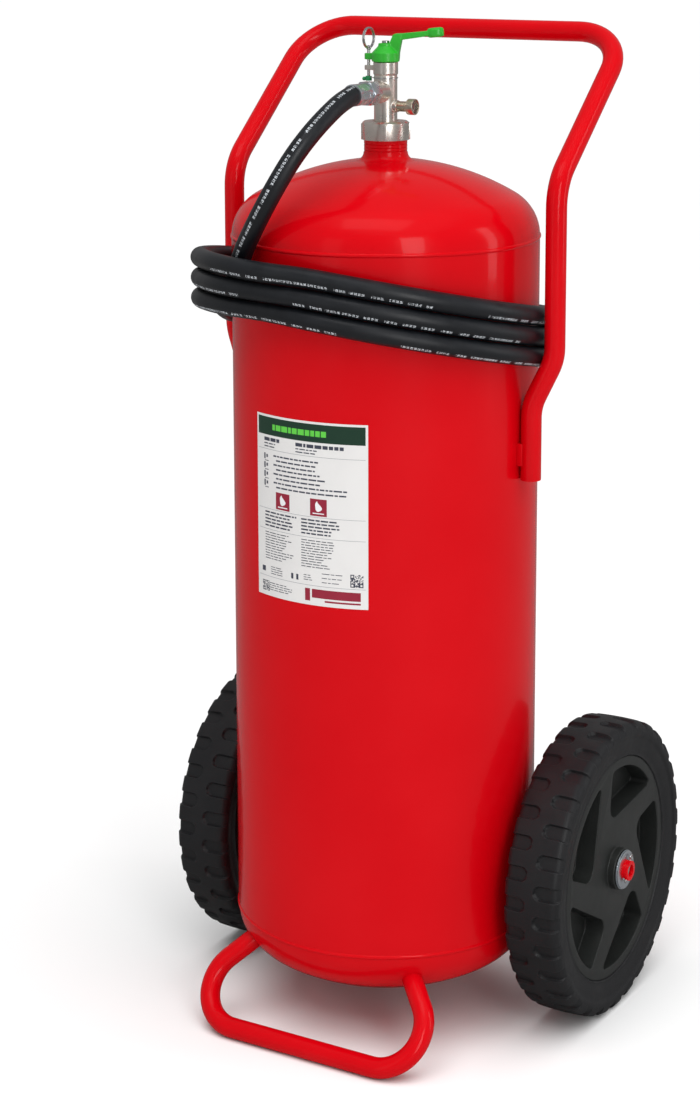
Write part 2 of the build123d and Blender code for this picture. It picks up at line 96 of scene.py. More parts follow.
class VesselSettings(bpy.types.PropertyGroup):
    """Sizes and colours of the pressure vessel and its frame."""
    wall: FloatProperty(name="Wall", description="Thickness of the vessel's wall", default=0.003,
                        unit="LENGTH")
    crown_radius: FloatProperty(name="Crown radius", description="Large radius of the dished ends",
                                default=0.250, unit="LENGTH")
    knuckle_radius: FloatProperty(name="Knuckle radius", description="Small radius of the dished ends",
                                  default=0.046, unit="LENGTH")
    paint: FloatVectorProperty(name="Paint", description="Colour of the gloss paint", subtype="COLOR",
                               size=3, default=(0.55, 0.0004, 0.0040))


class LabelSettings(bpy.types.PropertyGroup):
    """Colours of the instruction label."""
    ground: FloatVectorProperty(name="Ground", description="Colour of the label film", subtype="COLOR",
                                size=3, default=(0.70, 0.69, 0.68))
    ink: FloatVectorProperty(name="Ink", description="Colour of the lines of print", subtype="COLOR",
                             size=3, default=(0.045, 0.05, 0.075))
    band: FloatVectorProperty(name="Band", description="Colour of the header band", subtype="COLOR",
                              size=3, default=(0.006, 0.035, 0.018))


class HoseSettings(bpy.types.PropertyGroup):
    """Sizes and colours of the discharge hose."""
    diameter: FloatProperty(name="Diameter", description="Outer diameter of the hose", default=0.019,
                            unit="LENGTH")
    turns: IntProperty(name="Turns", description="Whole turns round the vessel", default=3, min=1)
    turn_radius: FloatProperty(name="Turn radius", description="Radius of the turns' middle line",
                               default=0.1603, unit="LENGTH")
    lift: FloatProperty(name="Lift", description="Rise of the hose from one turn to the next",
                        default=0.0198, unit="LENGTH")
    bulge: FloatProperty(name="Bulge", description="How far the turns stand out where they cross the lead",
                         default=0.0206, unit="LENGTH")
    rubber: FloatVectorProperty(name="Rubber", description="Colour of the hose cover", subtype="COLOR",
                                size=3, default=(0.0050, 0.0061, 0.0085))


class WheelSettings(bpy.types.PropertyGroup):
    """Sizes and colours of the wheels."""
    lugs: IntProperty(name="Tread pockets", description="Pockets in each row of the tread", default=31,
                      min=8)
    pocket_length: FloatProperty(name="Pocket length", description="Reach of a pocket from the shoulder",
                                 default=0.0245, unit="LENGTH")
    pocket_depth: FloatProperty(name="Pocket depth", description="Depth of a tread pocket",
                                default=0.0030, unit="LENGTH")
    rubber: FloatVectorProperty(name="Tyre", description="Colour of the tyre", subtype="COLOR", size=3,
                                default=(0.0085, 0.0086, 0.0098))
    plastic: FloatVectorProperty(name="Rim", description="Colour of the rim", subtype="COLOR", size=3,
                                 default=(0.0125, 0.0138, 0.0130))


class ValveSettings(bpy.types.PropertyGroup):
    """Colours of the valve."""
    plating: FloatVectorProperty(name="Plating", description="Colour of the nickel plating",
                                 subtype="COLOR", size=3, default=(0.86, 0.80, 0.73))
    lever: FloatVectorProperty(name="Lever", description="Colour of the lever", subtype="COLOR", size=3,
                               default=(0.018, 0.36, 0.018))


class StudioSettings(bpy.types.PropertyGroup):
    """Floor and light of the studio."""
    floor: FloatVectorProperty(name="Floor", description="Colour of the floor", subtype="COLOR", size=3,
                               default=(0.86, 0.86, 0.86))
    ambient: FloatProperty(name="Ambient", description="Brightness of the room", default=0.30, min=0.0)
    overhead: FloatProperty(name="Overhead", description="Strength of the wide light from above",
                            default=2.9, min=0.0)
    key_power: FloatProperty(name="Key power", description="Power of the large soft light", default=30.0,
                             min=0.0)


# --- meshes from arrays ---------------------------------------------------------------------------


def new_mesh(name, points, faces, corner_uvs=None):
    """Mesh from an array of points and a list of index arrays, one for each number of corners."""
    mesh = bpy.data.meshes.new(name)
    mesh.vertices.add(len(points))
    mesh.vertices.foreach_set("co", np.asarray(points, np.float32).ravel())
    corners = np.concatenate([f.ravel() for f in faces]).astype(np.int32)
    sizes = np.concatenate([np.full(len(f), f.shape[1]) for f in faces])
    mesh.loops.add(len(corners))
    mesh.loops.foreach_set("vertex_index", corners)
    mesh.polygons.add(len(sizes))
    mesh.polygons.foreach_set("loop_start", (np.cumsum(sizes) - sizes).astype(np.int32))
    if corner_uvs is not None:
        layer = mesh.uv_layers.new(name="along")
        layer.data.foreach_set("uv", np.asarray(corner_uvs, np.float32).ravel())
    mesh.update(calc_edges=True)
    mesh.polygons.foreach_set("use_smooth", np.ones(len(sizes), bool))
    return mesh


def grid_faces(rows, columns, close_rows, close_columns, start=0):
    """Quads of a grid of points: each joins a point to the next one in its row and in its column."""
    i = np.arange(rows if close_rows else rows - 1)[:, None]
    j = np.arange(columns if close_columns else columns - 1)[None, :]
    i_next, j_next = (i + 1) % rows, (j + 1) % columns
    corners = [i * columns + j, i * columns + j_next, i_next * columns + j_next, i_next * columns + j]
    return np.stack([np.broadcast_to(c, (i.size, j.size)) for c in corners], -1).reshape(-1, 4) + start


def point_outwards(mesh, weld=True):
    """Turns every face of a closed mesh outwards, after its doubles are merged where it has any. A thin
    shell may come out wholly inside out, which its signed volume shows."""
    work = bmesh.new()
    work.from_mesh(mesh)
    if weld:
        bmesh.ops.remove_doubles(work, verts=work.verts, dist=WELD_DISTANCE)
    bmesh.ops.recalc_face_normals(work, faces=work.faces)
    if work.calc_volume(signed=True) < 0:
        bmesh.ops.reverse_faces(work, faces=work.faces)
    work.to_mesh(mesh)
    work.free()
    return mesh


def sharpen(mesh, degrees=35.0):
    """Smooth shading, but for edges that turn more than an angle."""
    mesh.polygons.foreach_set("use_smooth", np.ones(len(mesh.polygons), bool))
    mesh.set_sharp_from_angle(angle=math.radians(degrees))
    return mesh


def ease(value):
    """Smooth step from 0 to 1, held at its ends: three squares less two cubes."""
    value = np.clip(value, 0, 1)
    return value * value * (3 - 2 * value)


def turned(name, outline, centre, segments):
    """Closed solid of revolution about an upright axis through centre: each point (radius, height) of a
    closed outline is turned by angles spread evenly round the circle."""
    outline = np.asarray(outline, float)
    angle = np.linspace(0, TAU, segments, endpoint=False)[:, None]
    radius, height = outline[None, :, 0], outline[None, :, 1]
    points = np.stack([radius * np.cos(angle), radius * np.sin(angle),
                       np.broadcast_to(height, (segments, len(outline)))], -1)
    faces = grid_faces(segments, len(outline), True, True)
    mesh = new_mesh(name, points.reshape(-1, 3) + np.array(centre), [faces])
    return sharpen(drop_flat_faces(point_outwards(mesh)))


def drop_flat_faces(mesh):
    """Removes the faces without area that a turned outline leaves on its axis, and their loose edges."""
    work = bmesh.new()
    work.from_mesh(mesh)
    bmesh.ops.dissolve_degenerate(work, dist=WELD_DISTANCE, edges=work.edges)
    loose = [edge for edge in work.edges if not edge.link_faces]
    bmesh.ops.delete(work, geom=loose, context="EDGES")
    work.to_mesh(mesh)
    work.free()
    return mesh


def frames_along(path, first_side):
    """Side vectors along a path: the first is carried from point to point, each time made square to the
    path again, so that it never twists round it. The second is square to the path and to the first."""
    tangent = np.gradient(path, axis=0)
    tangent /= np.linalg.norm(tangent, axis=1)[:, None]
    side = np.zeros_like(path)
    carried = np.asarray(first_side, float)
    for k, direction in enumerate(tangent):
        carried = carried - direction * (carried @ direction)
        carried /= np.linalg.norm(carried)
        side[k] = carried
    return side, np.cross(tangent, side)


def tube(name, path, radius, sides, first_side):
    """Round bar with flat closed ends: a circle carried square to a path. The map gives the length along
    the path and the distance round the circle, both in metres."""
    side, third = frames_along(path, first_side)
    angle = np.linspace(0, TAU, sides, endpoint=False)
    ring = np.cos(angle)[None, :, None] * side[:, None] + np.sin(angle)[None, :, None] * third[:, None]
    points = (path[:, None] + radius * ring).reshape(-1, 3)
    rows = len(path)
    quads = grid_faces(rows, sides, False, True)
    caps = [np.arange(sides)[None, ::-1], ((rows - 1) * sides + np.arange(sides))[None]]
    step = np.linalg.norm(np.diff(path, axis=0), axis=1)
    run = np.concatenate([[0], np.cumsum(step)])
    girth = np.linspace(0, TAU * radius, sides + 1)
    u0, u1 = run[:-1, None], run[1:, None]
    v0, v1 = girth[None, :-1], girth[None, 1:]
    corners = [(u0, v0), (u0, v1), (u1, v1), (u1, v0)]
    uvs = np.stack([np.stack(np.broadcast_arrays(u, v), -1) for u, v in corners], 2).reshape(-1, 2)
    cap_uvs = np.zeros((2 * sides, 2))
    mesh = new_mesh(name, points, [quads, *caps], np.concatenate([uvs, cap_uvs]))
    return sharpen(mesh, 60)


def merged_copy(node, edge=0.0, steps=2):
    """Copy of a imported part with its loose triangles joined, its flat faces made whole and its edges
    rounded by the width given."""
    mesh = NODES[node].data.copy()
    mesh.materials.clear()
    work = bmesh.new()
    work.from_mesh(mesh)
    bmesh.ops.remove_doubles(work, verts=work.verts, dist=PART_WELD_DISTANCE)
    bmesh.ops.dissolve_limit(work, angle_limit=FLAT_ANGLE, verts=work.verts, edges=work.edges)
    if edge > 0:
        turning = [e for e in work.edges if len(e.link_faces) == 2 and e.calc_face_angle(0.0) > EDGE_ANGLE]
        bmesh.ops.bevel(work, geom=turning, offset=edge, segments=steps, profile=0.5, affect="EDGES",
                        clamp_overlap=True)
    work.to_mesh(mesh)
    work.free()
    if mesh.has_custom_normals:
        mesh.attributes.remove(mesh.attributes["custom_normal"])
    return sharpen(mesh, 40)


def joined(name, meshes):
    """One mesh that holds several."""
    work = bmesh.new()
    for mesh in meshes:
        work.from_mesh(mesh)
        bpy.data.meshes.remove(mesh)
    mesh = bpy.data.meshes.new(name)
    work.to_mesh(mesh)
    work.free()
    return mesh


def moulded(obj, voxel, rounds):
    """Fuses the shells of a piece into one skin with soft inner corners, as a casting or moulding has."""
    remesh = obj.modifiers.new("skin", "REMESH")
    remesh.mode = "VOXEL"
    remesh.voxel_size = voxel
    remesh.use_smooth_shade = True
    smooth = obj.modifiers.new("soften", "SMOOTH")
    smooth.factor = 0.5
    smooth.iterations = rounds


def piece(name, mesh, material, body="root", replaced=()):
    """Puts a finished mesh in the scene as a piece that rides on a body."""
    obj = bpy.data.objects.new(name, mesh)
    bpy.context.scene.collection.objects.link(obj)
    mesh.name = name
    mesh.materials.clear()
    mesh.materials.append(material)
    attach(obj, body)
    if replaced:
        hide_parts(*replaced)
    return obj


def copy_pieces(copies):
    """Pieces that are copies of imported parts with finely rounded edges. A copy is (piece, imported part,
    finish, body, slot, width of the rounding)."""
    return {name: piece(name, merged_copy(node, edge=edge, steps=3), material(look), body, [node])
            for name, node, look, body, slot, edge in copies}


def finish_node(node, material):
    """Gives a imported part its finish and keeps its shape."""
    obj = NODES[node]
    if not obj.material_slots:
        obj.data.materials.append(material)
    for material_slot in obj.material_slots:
        material_slot.material = material


# --- shader groups --------------------------------------------------------------------------------


def new_group(name, inputs, outputs):
    """Empty shader group with its sockets: inputs are (name, kind, value) and outputs (name, kind)."""
    group = bpy.data.node_groups.new(name, "ShaderNodeTree")
    for socket, kind, value in inputs:
        made = group.interface.new_socket(socket, in_out="INPUT", socket_type="NodeSocket" + kind)
        if value is not None:
            made.default_value = value
    for socket, kind in outputs:
        group.interface.new_socket(socket, in_out="OUTPUT", socket_type="NodeSocket" + kind)
    return group, group.nodes.new("NodeGroupInput"), group.nodes.new("NodeGroupOutput")


def feed(tree, node, links):
    """Joins a node's inputs to sockets, or sets them."""
    for socket, value in links.items():
        if isinstance(value, bpy.types.NodeSocket):
            tree.links.new(value, node.inputs[socket])
        else:
            node.inputs[socket].default_value = value


def add(tree, kind, links=None, **values):
    """New node, with its fields set by values and its inputs fed by links."""
    node = tree.nodes.new("ShaderNode" + kind)
    for field, value in values.items():
        setattr(node, field, value)
    feed(tree, node, links or {})
    return node


def math_node(tree, operation, first, second=None, third=None):
    """Result of one sum on values or sockets."""
    links = {k: v for k, v in enumerate((first, second, third)) if v is not None}
    return add(tree, "Math", links, operation=operation).outputs[0]


def span(tree, value, low_in, high_in, low_out, high_out):
    """Value mapped from one range to another, and held at its ends."""
    return add(tree, "MapRange", {0: value, 1: low_in, 2: high_in, 3: low_out, 4: high_out}).outputs[0]


def mix_colour(tree, factor, first, second):
    """Colour between two, by a factor."""
    return add(tree, "Mix", {0: factor, 6: first, 7: second}, data_type="RGBA").outputs[2]


def build_grain_group():
    """Fine grain: a bump and a varied roughness from noise that follows the object."""
    group, given, result = new_group("Fine grain", [
        ("Size", "Float", 600.0), ("Depth", "Float", 0.0001), ("Rough low", "Float", 0.2),
        ("Rough high", "Float", 0.3), ("Patches", "Float", 14.0)],
        [("Roughness", "Float"), ("Normal", "Vector"), ("Patch", "Float")])
    place = add(group, "TexCoord").outputs["Object"]
    fine = add(group, "TexNoise", {"Vector": place, "Scale": given.outputs["Size"], "Detail": 2.0})
    broad = add(group, "TexNoise", {"Vector": place, "Scale": given.outputs["Patches"], "Detail": 4.0,
                                    "Roughness": 0.6})
    patch = span(group, broad.outputs["Fac"], 0.35, 0.65, 0.0, 1.0)
    rough = add(group, "MapRange", {0: patch, 3: given.outputs["Rough low"],
                                    4: given.outputs["Rough high"]}).outputs[0]
    bump = add(group, "Bump", {"Height": fine.outputs["Fac"], "Distance": given.outputs["Depth"],
                               "Strength": 1.0})
    group.links.new(rough, result.inputs["Roughness"])
    group.links.new(bump.outputs["Normal"], result.inputs["Normal"])
    group.links.new(patch, result.inputs["Patch"])
    return group


def build_dust_group():
    """Dust and handling: lightens faces that look up, unevenly."""
    group, given, result = new_group("Light dust", [
        ("Colour", "Color", None), ("Dust", "Color", (0.32, 0.30, 0.28, 1)), ("Amount", "Float", 0.1),
        ("Size", "Float", 30.0)], [("Colour", "Color")])
    place = add(group, "TexCoord").outputs["Object"]
    up = add(group, "SeparateXYZ", {0: add(group, "NewGeometry").outputs["Normal"]}).outputs["Z"]
    noise = add(group, "TexNoise", {"Vector": place, "Scale": given.outputs["Size"], "Detail": 6.0,
                                    "Roughness": 0.65})
    facing = span(group, up, -0.1, 0.9, 0.15, 1.0)
    patchy = span(group, noise.outputs["Fac"], 0.42, 0.72, 0.0, 1.0)
    mask = math_node(group, "MULTIPLY", math_node(group, "MULTIPLY", facing, patchy),
                     given.outputs["Amount"])
    group.links.new(mix_colour(group, mask, given.outputs["Colour"], given.outputs["Dust"]),
                    result.inputs["Colour"])
    return group


def build_wear_group():
    """Edge wear: a mask on sharp outer edges, broken up by noise."""
    group, given, result = new_group("Edge wear", [
        ("Colour", "Color", None), ("Worn", "Color", (0.5, 0.5, 0.5, 1)), ("Amount", "Float", 0.5),
        ("Start", "Float", 0.53), ("Full", "Float", 0.6)], [("Colour", "Color")])
    place = add(group, "TexCoord").outputs["Object"]
    point = add(group, "NewGeometry").outputs["Pointiness"]
    noise = add(group, "TexNoise", {"Vector": place, "Scale": 160.0, "Detail": 5.0})
    edge = add(group, "MapRange", {0: point, 1: given.outputs["Start"], 2: given.outputs["Full"]})
    broken = span(group, noise.outputs["Fac"], 0.38, 0.6, 0.25, 1.0)
    mask = math_node(group, "MULTIPLY", math_node(group, "MULTIPLY", edge.outputs[0], broken),
                     given.outputs["Amount"])
    group.links.new(mix_colour(group, mask, given.outputs["Colour"], given.outputs["Worn"]),
                    result.inputs["Colour"])
    return group


GROUPS = {}


def group_node(tree, kind, links):
    """Places one of the shared groups in a material."""
    builders = {"grain": build_grain_group, "dust": build_dust_group, "wear": build_wear_group}
    if kind not in GROUPS:
        GROUPS[kind] = builders[kind]()
    node = tree.nodes.new("ShaderNodeGroup")
    node.node_tree = GROUPS[kind]
    feed(tree, node, links)
    return node


# --- finishes -------------------------------------------------------------------------------------


def rgba(colour):
    """Colour with full opacity."""
    return (*tuple(colour)[:3], 1.0)


def shade(colour, factor):
    """Colour made darker or lighter."""
    return tuple(min(1.0, c * factor) for c in tuple(colour)[:3])


def finish(name, colour, grain, dust=None, wear=None, mottle=0.0, **surface):
    """Material with fine grain, and dust, wear and mottling where asked. grain is (size, depth, rough
    low, rough high, patches); dust is (colour, amount, size); wear is (colour, amount, start, full)."""
    material = bpy.data.materials.new(name)
    material.use_nodes = True
    tree = material.node_tree
    shader = tree.nodes["Principled BSDF"]
    texture = group_node(tree, "grain", dict(zip(("Size", "Depth", "Rough low", "Rough high", "Patches"),
                                                 grain)))
    base = mix_colour(tree, texture.outputs["Patch"], rgba(shade(colour, 1 - mottle)),
                      rgba(shade(colour, 1 + mottle)))
    if wear:
        base = group_node(tree, "wear", {"Colour": base, "Worn": rgba(wear[0]), "Amount": wear[1],
                                         "Start": wear[2], "Full": wear[3]}).outputs["Colour"]
    if dust:
        base = group_node(tree, "dust", {"Colour": base, "Dust": rgba(dust[0]), "Amount": dust[1],
                                         "Size": dust[2]}).outputs["Colour"]
    tree.links.new(base, shader.inputs["Base Color"])
    tree.links.new(texture.outputs["Roughness"], shader.inputs["Roughness"])
    tree.links.new(texture.outputs["Normal"], shader.inputs["Normal"])
    for socket, value in surface.items():
        shader.inputs[socket.replace("_", " ")].default_value = value
    return material


def paint_finish(name, colour):
    """Gloss paint: faint orange peel under a clear coat."""
    return finish(name, colour, (160, 0.00005, 0.16, 0.24, 9), mottle=0.025,
                  dust=((0.50, 0.010, 0.012), 0.03, 26), Specular_IOR_Level=0.10, Coat_Weight=0.25,
                  Coat_Roughness=0.03, Coat_IOR=1.4)


def metal_finish(name, colour, rough, grain_size=900, depth=0.00003, wear=0.35):
    """Plated or bare metal: fine grain, uneven sheen and brighter edges."""
    return finish(name, colour, (grain_size, depth, rough * 0.8, rough * 1.25, 45), mottle=0.08,
                  wear=(shade(colour, 1.35), wear, 0.52, 0.60), Metallic=1.0)


def hose_finish(settings):
    """Rubber cover with a line of pale printed marks that runs along it. The marks are plain
    blocks in small cells, in groups with gaps between them, so that they spell nothing."""
    material = finish("hose_cover", settings.rubber, (700, 0.00008, 0.36, 0.50, 30), mottle=0.10,
                      dust=((0.10, 0.11, 0.12), 0.06, 60), Specular_IOR_Level=0.5)
    tree = material.node_tree
    shader = tree.nodes["Principled BSDF"]
    under = shader.inputs["Base Color"].links[0].from_socket
    place = add(tree, "SeparateXYZ", {0: add(tree, "UVMap", uv_map="along").outputs["UV"]})
    run, girth = place.outputs["X"], place.outputs["Y"]
    dot = 0.00052
    empty_dots = 0.42
    line_height = 0.0029
    letter, letter_share = 0.0034, 0.72
    word = letter * 5
    shortest_word, spread = 0.60, 0.35
    group, group_share = 0.285, 0.80
    strength = 0.80

    def steps(value, size):
        """Number of whole sizes in a value."""
        return math_node(tree, "FLOOR", math_node(tree, "DIVIDE", value, size))

    def share_of(size):
        """How far through its present size the run is, from 0 to 1."""
        return math_node(tree, "FRACT", math_node(tree, "DIVIDE", run, size))

    centre = math.pi * settings.diameter * 0.5
    offset = math_node(tree, "ABSOLUTE", math_node(tree, "SUBTRACT", girth, centre))
    spot = add(tree, "CombineXYZ", {0: steps(run, dot), 1: steps(girth, dot)})
    random_dot = add(tree, "TexWhiteNoise", {"Vector": spot.outputs[0]}, noise_dimensions="2D")
    random_word = add(tree, "TexWhiteNoise", {"W": steps(run, word)}, noise_dimensions="1D")
    word_end = math_node(tree, "MULTIPLY_ADD", random_word.outputs["Value"], spread, shortest_word)
    mask = math_node(tree, "GREATER_THAN", random_dot.outputs["Value"], empty_dots)
    for value, limit in ((offset, line_height / 2), (share_of(letter), letter_share),
                         (share_of(word), word_end), (share_of(group), group_share)):
        mask = math_node(tree, "MULTIPLY", mask, math_node(tree, "LESS_THAN", value, limit))
    mask = math_node(tree, "MULTIPLY", mask, strength)
    tree.links.new(mix_colour(tree, mask, under, (0.62, 0.66, 0.70, 1)), shader.inputs["Base Color"])
    return material


MATERIALS = {}


def material(name):
    """A finish by name, made the first time it is asked for."""
    scene = bpy.context.scene
    vessel, wheel, valve = scene.ext_vessel, scene.ext_wheel, scene.ext_valve
    steel = (0.60, 0.60, 0.60)
    makers = {
        "paint": lambda: paint_finish("gloss_paint", vessel.paint),
        "nickel": lambda: metal_finish("nickel_plating", valve.plating, 0.32, 1500, 0.000018, 0.15),
        "nut_nickel": lambda: metal_finish("nut_plating", valve.plating, 0.28, 900, 0.000012, 0.15),
        "zinc": lambda: metal_finish("zinc_plating", (0.72, 0.77, 0.82), 0.30, 1200, 0.000015, 0.2),
        "steel": lambda: metal_finish("bright_steel", steel, 0.22, 1400, 0.00002),
        "brass": lambda: metal_finish("gauge_brass", (0.74, 0.66, 0.52), 0.26),
        "lever": lambda: finish("lever_plastic", valve.lever, (900, 0.00005, 0.26, 0.38, 70), mottle=0.06,
                                wear=(shade(valve.lever, 2.0), 0.25, 0.53, 0.62), Coat_Weight=0.15,
                                Coat_Roughness=0.15),
        "seal": lambda: finish("seal_plastic", (0.01, 0.22, 0.07), (900, 0.00004, 0.35, 0.5, 80)),
        "tyre": lambda: finish("tyre_rubber", wheel.rubber, (900, 0.00016, 0.42, 0.56, 38), mottle=0.10,
                               dust=((0.10, 0.095, 0.09), 0.07, 24),
                               wear=((0.045, 0.045, 0.047), 0.5, 0.52, 0.60), Specular_IOR_Level=0.40),
        "rim": lambda: finish("rim_plastic", wheel.plastic, (1200, 0.00010, 0.36, 0.46, 22), mottle=0.06,
                              dust=((0.10, 0.10, 0.09), 0.07, 30),
                              wear=((0.09, 0.10, 0.095), 0.6, 0.52, 0.62), Specular_IOR_Level=0.45),
        "gun": lambda: finish("gun_plastic", (0.02, 0.02, 0.021), (1000, 0.00012, 0.42, 0.55, 40),
                              mottle=0.1, wear=((0.08, 0.08, 0.08), 0.4, 0.52, 0.62)),
        "aluminium": lambda: metal_finish("lance_aluminium", (0.66, 0.67, 0.69), 0.34, 700, 0.00004),
        "bush": lambda: finish("bush_plastic", (0.55, 0.53, 0.46), (800, 0.00005, 0.4, 0.5, 40)),
        "gasket": lambda: finish("gasket_rubber", (0.02, 0.02, 0.02), (800, 0.00006, 0.5, 0.6, 40)),
        "dip": lambda: finish("dip_tube_plastic", (0.6, 0.6, 0.57), (800, 0.00004, 0.4, 0.5, 40)),
        "needle": lambda: finish("needle_paint", (0.02, 0.02, 0.02), (800, 0.00002, 0.3, 0.4, 40)),
    }
    if name not in MATERIALS:
        MATERIALS[name] = makers[name]()
    return MATERIALS[name]


# --- vessel and frame -----------------------------------------------------------------------------


def head_profile(crown, knuckle, offset, steps=18):
    """Half outline of a dished end above its seam: a knuckle arc that runs into a crown arc, both moved
    inwards by the wall. Points run from the seam to the pole as (radius, height)."""
    knuckle_centre = TANK_R - knuckle
    turn = math.asin(knuckle_centre / (crown - knuckle))
    drop = math.sqrt((crown - knuckle) ** 2 - knuckle_centre ** 2)
    low_arc = np.linspace(math.pi / 2, turn, steps)
    high_arc = np.linspace(turn, 0, steps + 4)[1:]
    first = np.stack([knuckle_centre + (knuckle - offset) * np.sin(low_arc),
                      (knuckle - offset) * np.cos(low_arc)], 1)
    second = np.stack([(crown - offset) * np.sin(high_arc), (crown - offset) * np.cos(high_arc) - drop], 1)
    return np.concatenate([first, second])


class EXT_OT_vessel(bpy.types.Operator):
    """Vessel shell, dished ends, seams and neck"""
    bl_idname = "extinguisher.vessel"
    bl_label = "Vessel"

    def head(self, name, settings, seam, sign, hole):
        """One dished end as a closed shell with the hole of the neck, if it has one."""
        outer = head_profile(settings.crown_radius, settings.knuckle_radius, 0.0)
        inner = head_profile(settings.crown_radius, settings.knuckle_radius, settings.wall)
        outer[:, 0] = np.maximum(outer[:, 0], hole)
        inner[:, 0] = np.maximum(inner[:, 0], hole)
        outline = np.concatenate([outer, inner[::-1]]) * (1, sign)
        return turned(name, outline, (0, TANK_Y, seam), segments=256)

    def seam(self, height):
        """Low crowned weld bead: half an ellipse in section, with a fine ripple along the seam."""
        sunk, crown, half_width = 0.0006, 0.00165, 0.0021
        arc = np.linspace(0, math.pi, 9)
        outline = np.stack([TANK_R - sunk + crown * np.sin(arc), half_width * np.cos(arc)], 1)
        mesh = turned("bead", outline, (0, TANK_Y, height), segments=512)
        points = np.zeros(len(mesh.vertices) * 3, np.float32)
        mesh.vertices.foreach_get("co", points)
        points = points.reshape(-1, 3)
        angle = np.arctan2(points[:, 1] - TANK_Y, points[:, 0])
        ripple = 0.00010 * np.sin(170 * angle) + 0.00008 * np.sin(67 * angle + 1.0)
        wander = 0.0003 * np.sin(5 * angle)
        points[:, 2] += ripple + wander
        mesh.vertices.foreach_set("co", points.ravel())
        return sharpen(mesh, 60)

    def neck_bead(self):
        """Fillet weld at the foot of the neck: a quarter ellipse, hollow in section, closed by its back."""
        bottom = low("neck_collar").z
        neck_r = high("neck_collar").x
        width, hollow = 0.0075, 0.0070
        foot, top = bottom + 0.004, bottom + 0.0165
        back = neck_r - 0.002
        arc = np.linspace(0, math.pi / 2, 8)
        sweep = np.stack([neck_r + width - hollow * np.sin(arc), top - width * np.cos(arc)], 1)
        outline = np.concatenate([sweep, [(back, top), (back, foot), (neck_r + width, foot)]])
        return turned("bead", outline, (0, TANK_Y, 0), segments=128)

    def execute(self, context):
        settings = context.scene.ext_vessel
        paint = material("paint")
        wall = TANK_R - settings.wall
        steps = np.linspace(SEAM_LOW, SEAM_HIGH, 25)
        outline = np.concatenate([np.stack([np.full_like(steps, TANK_R), steps], 1),
                                  np.stack([np.full_like(steps, wall), steps[::-1]], 1)])
        shell = turned("shell", outline, (0, TANK_Y, 0), segments=256)
        piece("vessel_shell", shell, paint, replaced=["tank_shell"])
        neck_r = high("neck_collar").x
        piece("vessel_top", self.head("top", settings, SEAM_HIGH, 1, neck_r), paint,
              replaced=["top_head"])
        piece("vessel_bottom", self.head("bottom", settings, SEAM_LOW, -1, 0.0), paint,
              replaced=["bottom_head"])
        beads = joined("beads", [self.seam(SEAM_LOW), self.seam(SEAM_HIGH), self.neck_bead()])
        piece("vessel_seams", beads, paint, replaced=["weld_seams"])
        piece("vessel_neck", merged_copy("neck_collar", edge=0.0003), paint,
              replaced=["neck_collar"])
        return {"FINISHED"}


class EXT_OT_frame(bpy.types.Operator):
    """Handle frame, foot loop, axle mounts and axles"""
    bl_idname = "extinguisher.frame"
    bl_label = "Handle and foot loop"

    def execute(self, context):
        paint = material("paint")
        piece("handle_tube", merged_copy("handle_frame", edge=0.0006), paint,
              replaced=["handle_frame"])
        piece("handle_lugs", merged_copy("handle_welds", edge=0.0010, steps=3), paint,
              replaced=["handle_welds"])
        piece("foot_tube", merged_copy("foot_bar", edge=0.0005), paint,
              replaced=["foot_bar"])
        for side, _ in SIDES:
            piece(f"axle_pad_{side}", merged_copy(f"axle_bracket_{side}", edge=0.0008), paint,
                  replaced=[f"axle_bracket_{side}"])
            piece(f"axle_{side}", merged_copy(f"stub_axle_{side}", edge=0.0006), paint,
                  replaced=[f"stub_axle_{side}"])
            piece(f"stop_collar_{side}", merged_copy(f"axle_stop_collar_{side}", edge=0.0008), paint,
                  replaced=[f"axle_stop_collar_{side}"])
        return {"FINISHED"}


# --- label ----------------------------------------------------------------------------------------


def curved_plates(name, plates, radius, thickness, step=0.003):
    """Thin closed plates bent round the vessel. A plate is (left, right, bottom, top), measured along
    the wall from the label's middle line and up from the floor; its angle is length over radius."""
    points, faces, count = [], [], 0
    for left, right, bottom, top in plates:
        columns = math.ceil((right - left) / step) + 1
        across = np.linspace(left, right, columns) / radius
        ring = np.array([(radius, bottom), (radius, top), (radius + thickness, top),
                         (radius + thickness, bottom)])
        grid = np.stack([ring[None, :, 0] * np.sin(across)[:, None],
                         TANK_Y - ring[None, :, 0] * np.cos(across)[:, None],
                         np.broadcast_to(ring[None, :, 1], (columns, 4))], -1)
        points.append(grid.reshape(-1, 3))
        faces.append(grid_faces(columns, 4, False, True, count))
        last = count + (columns - 1) * 4
        faces.append(np.array([[count, count + 1, count + 2, count + 3],
                               [last + 3, last + 2, last + 1, last]]))
        count += columns * 4
    return sharpen(point_outwards(new_mesh(name, np.concatenate(points), faces), weld=False), 50)


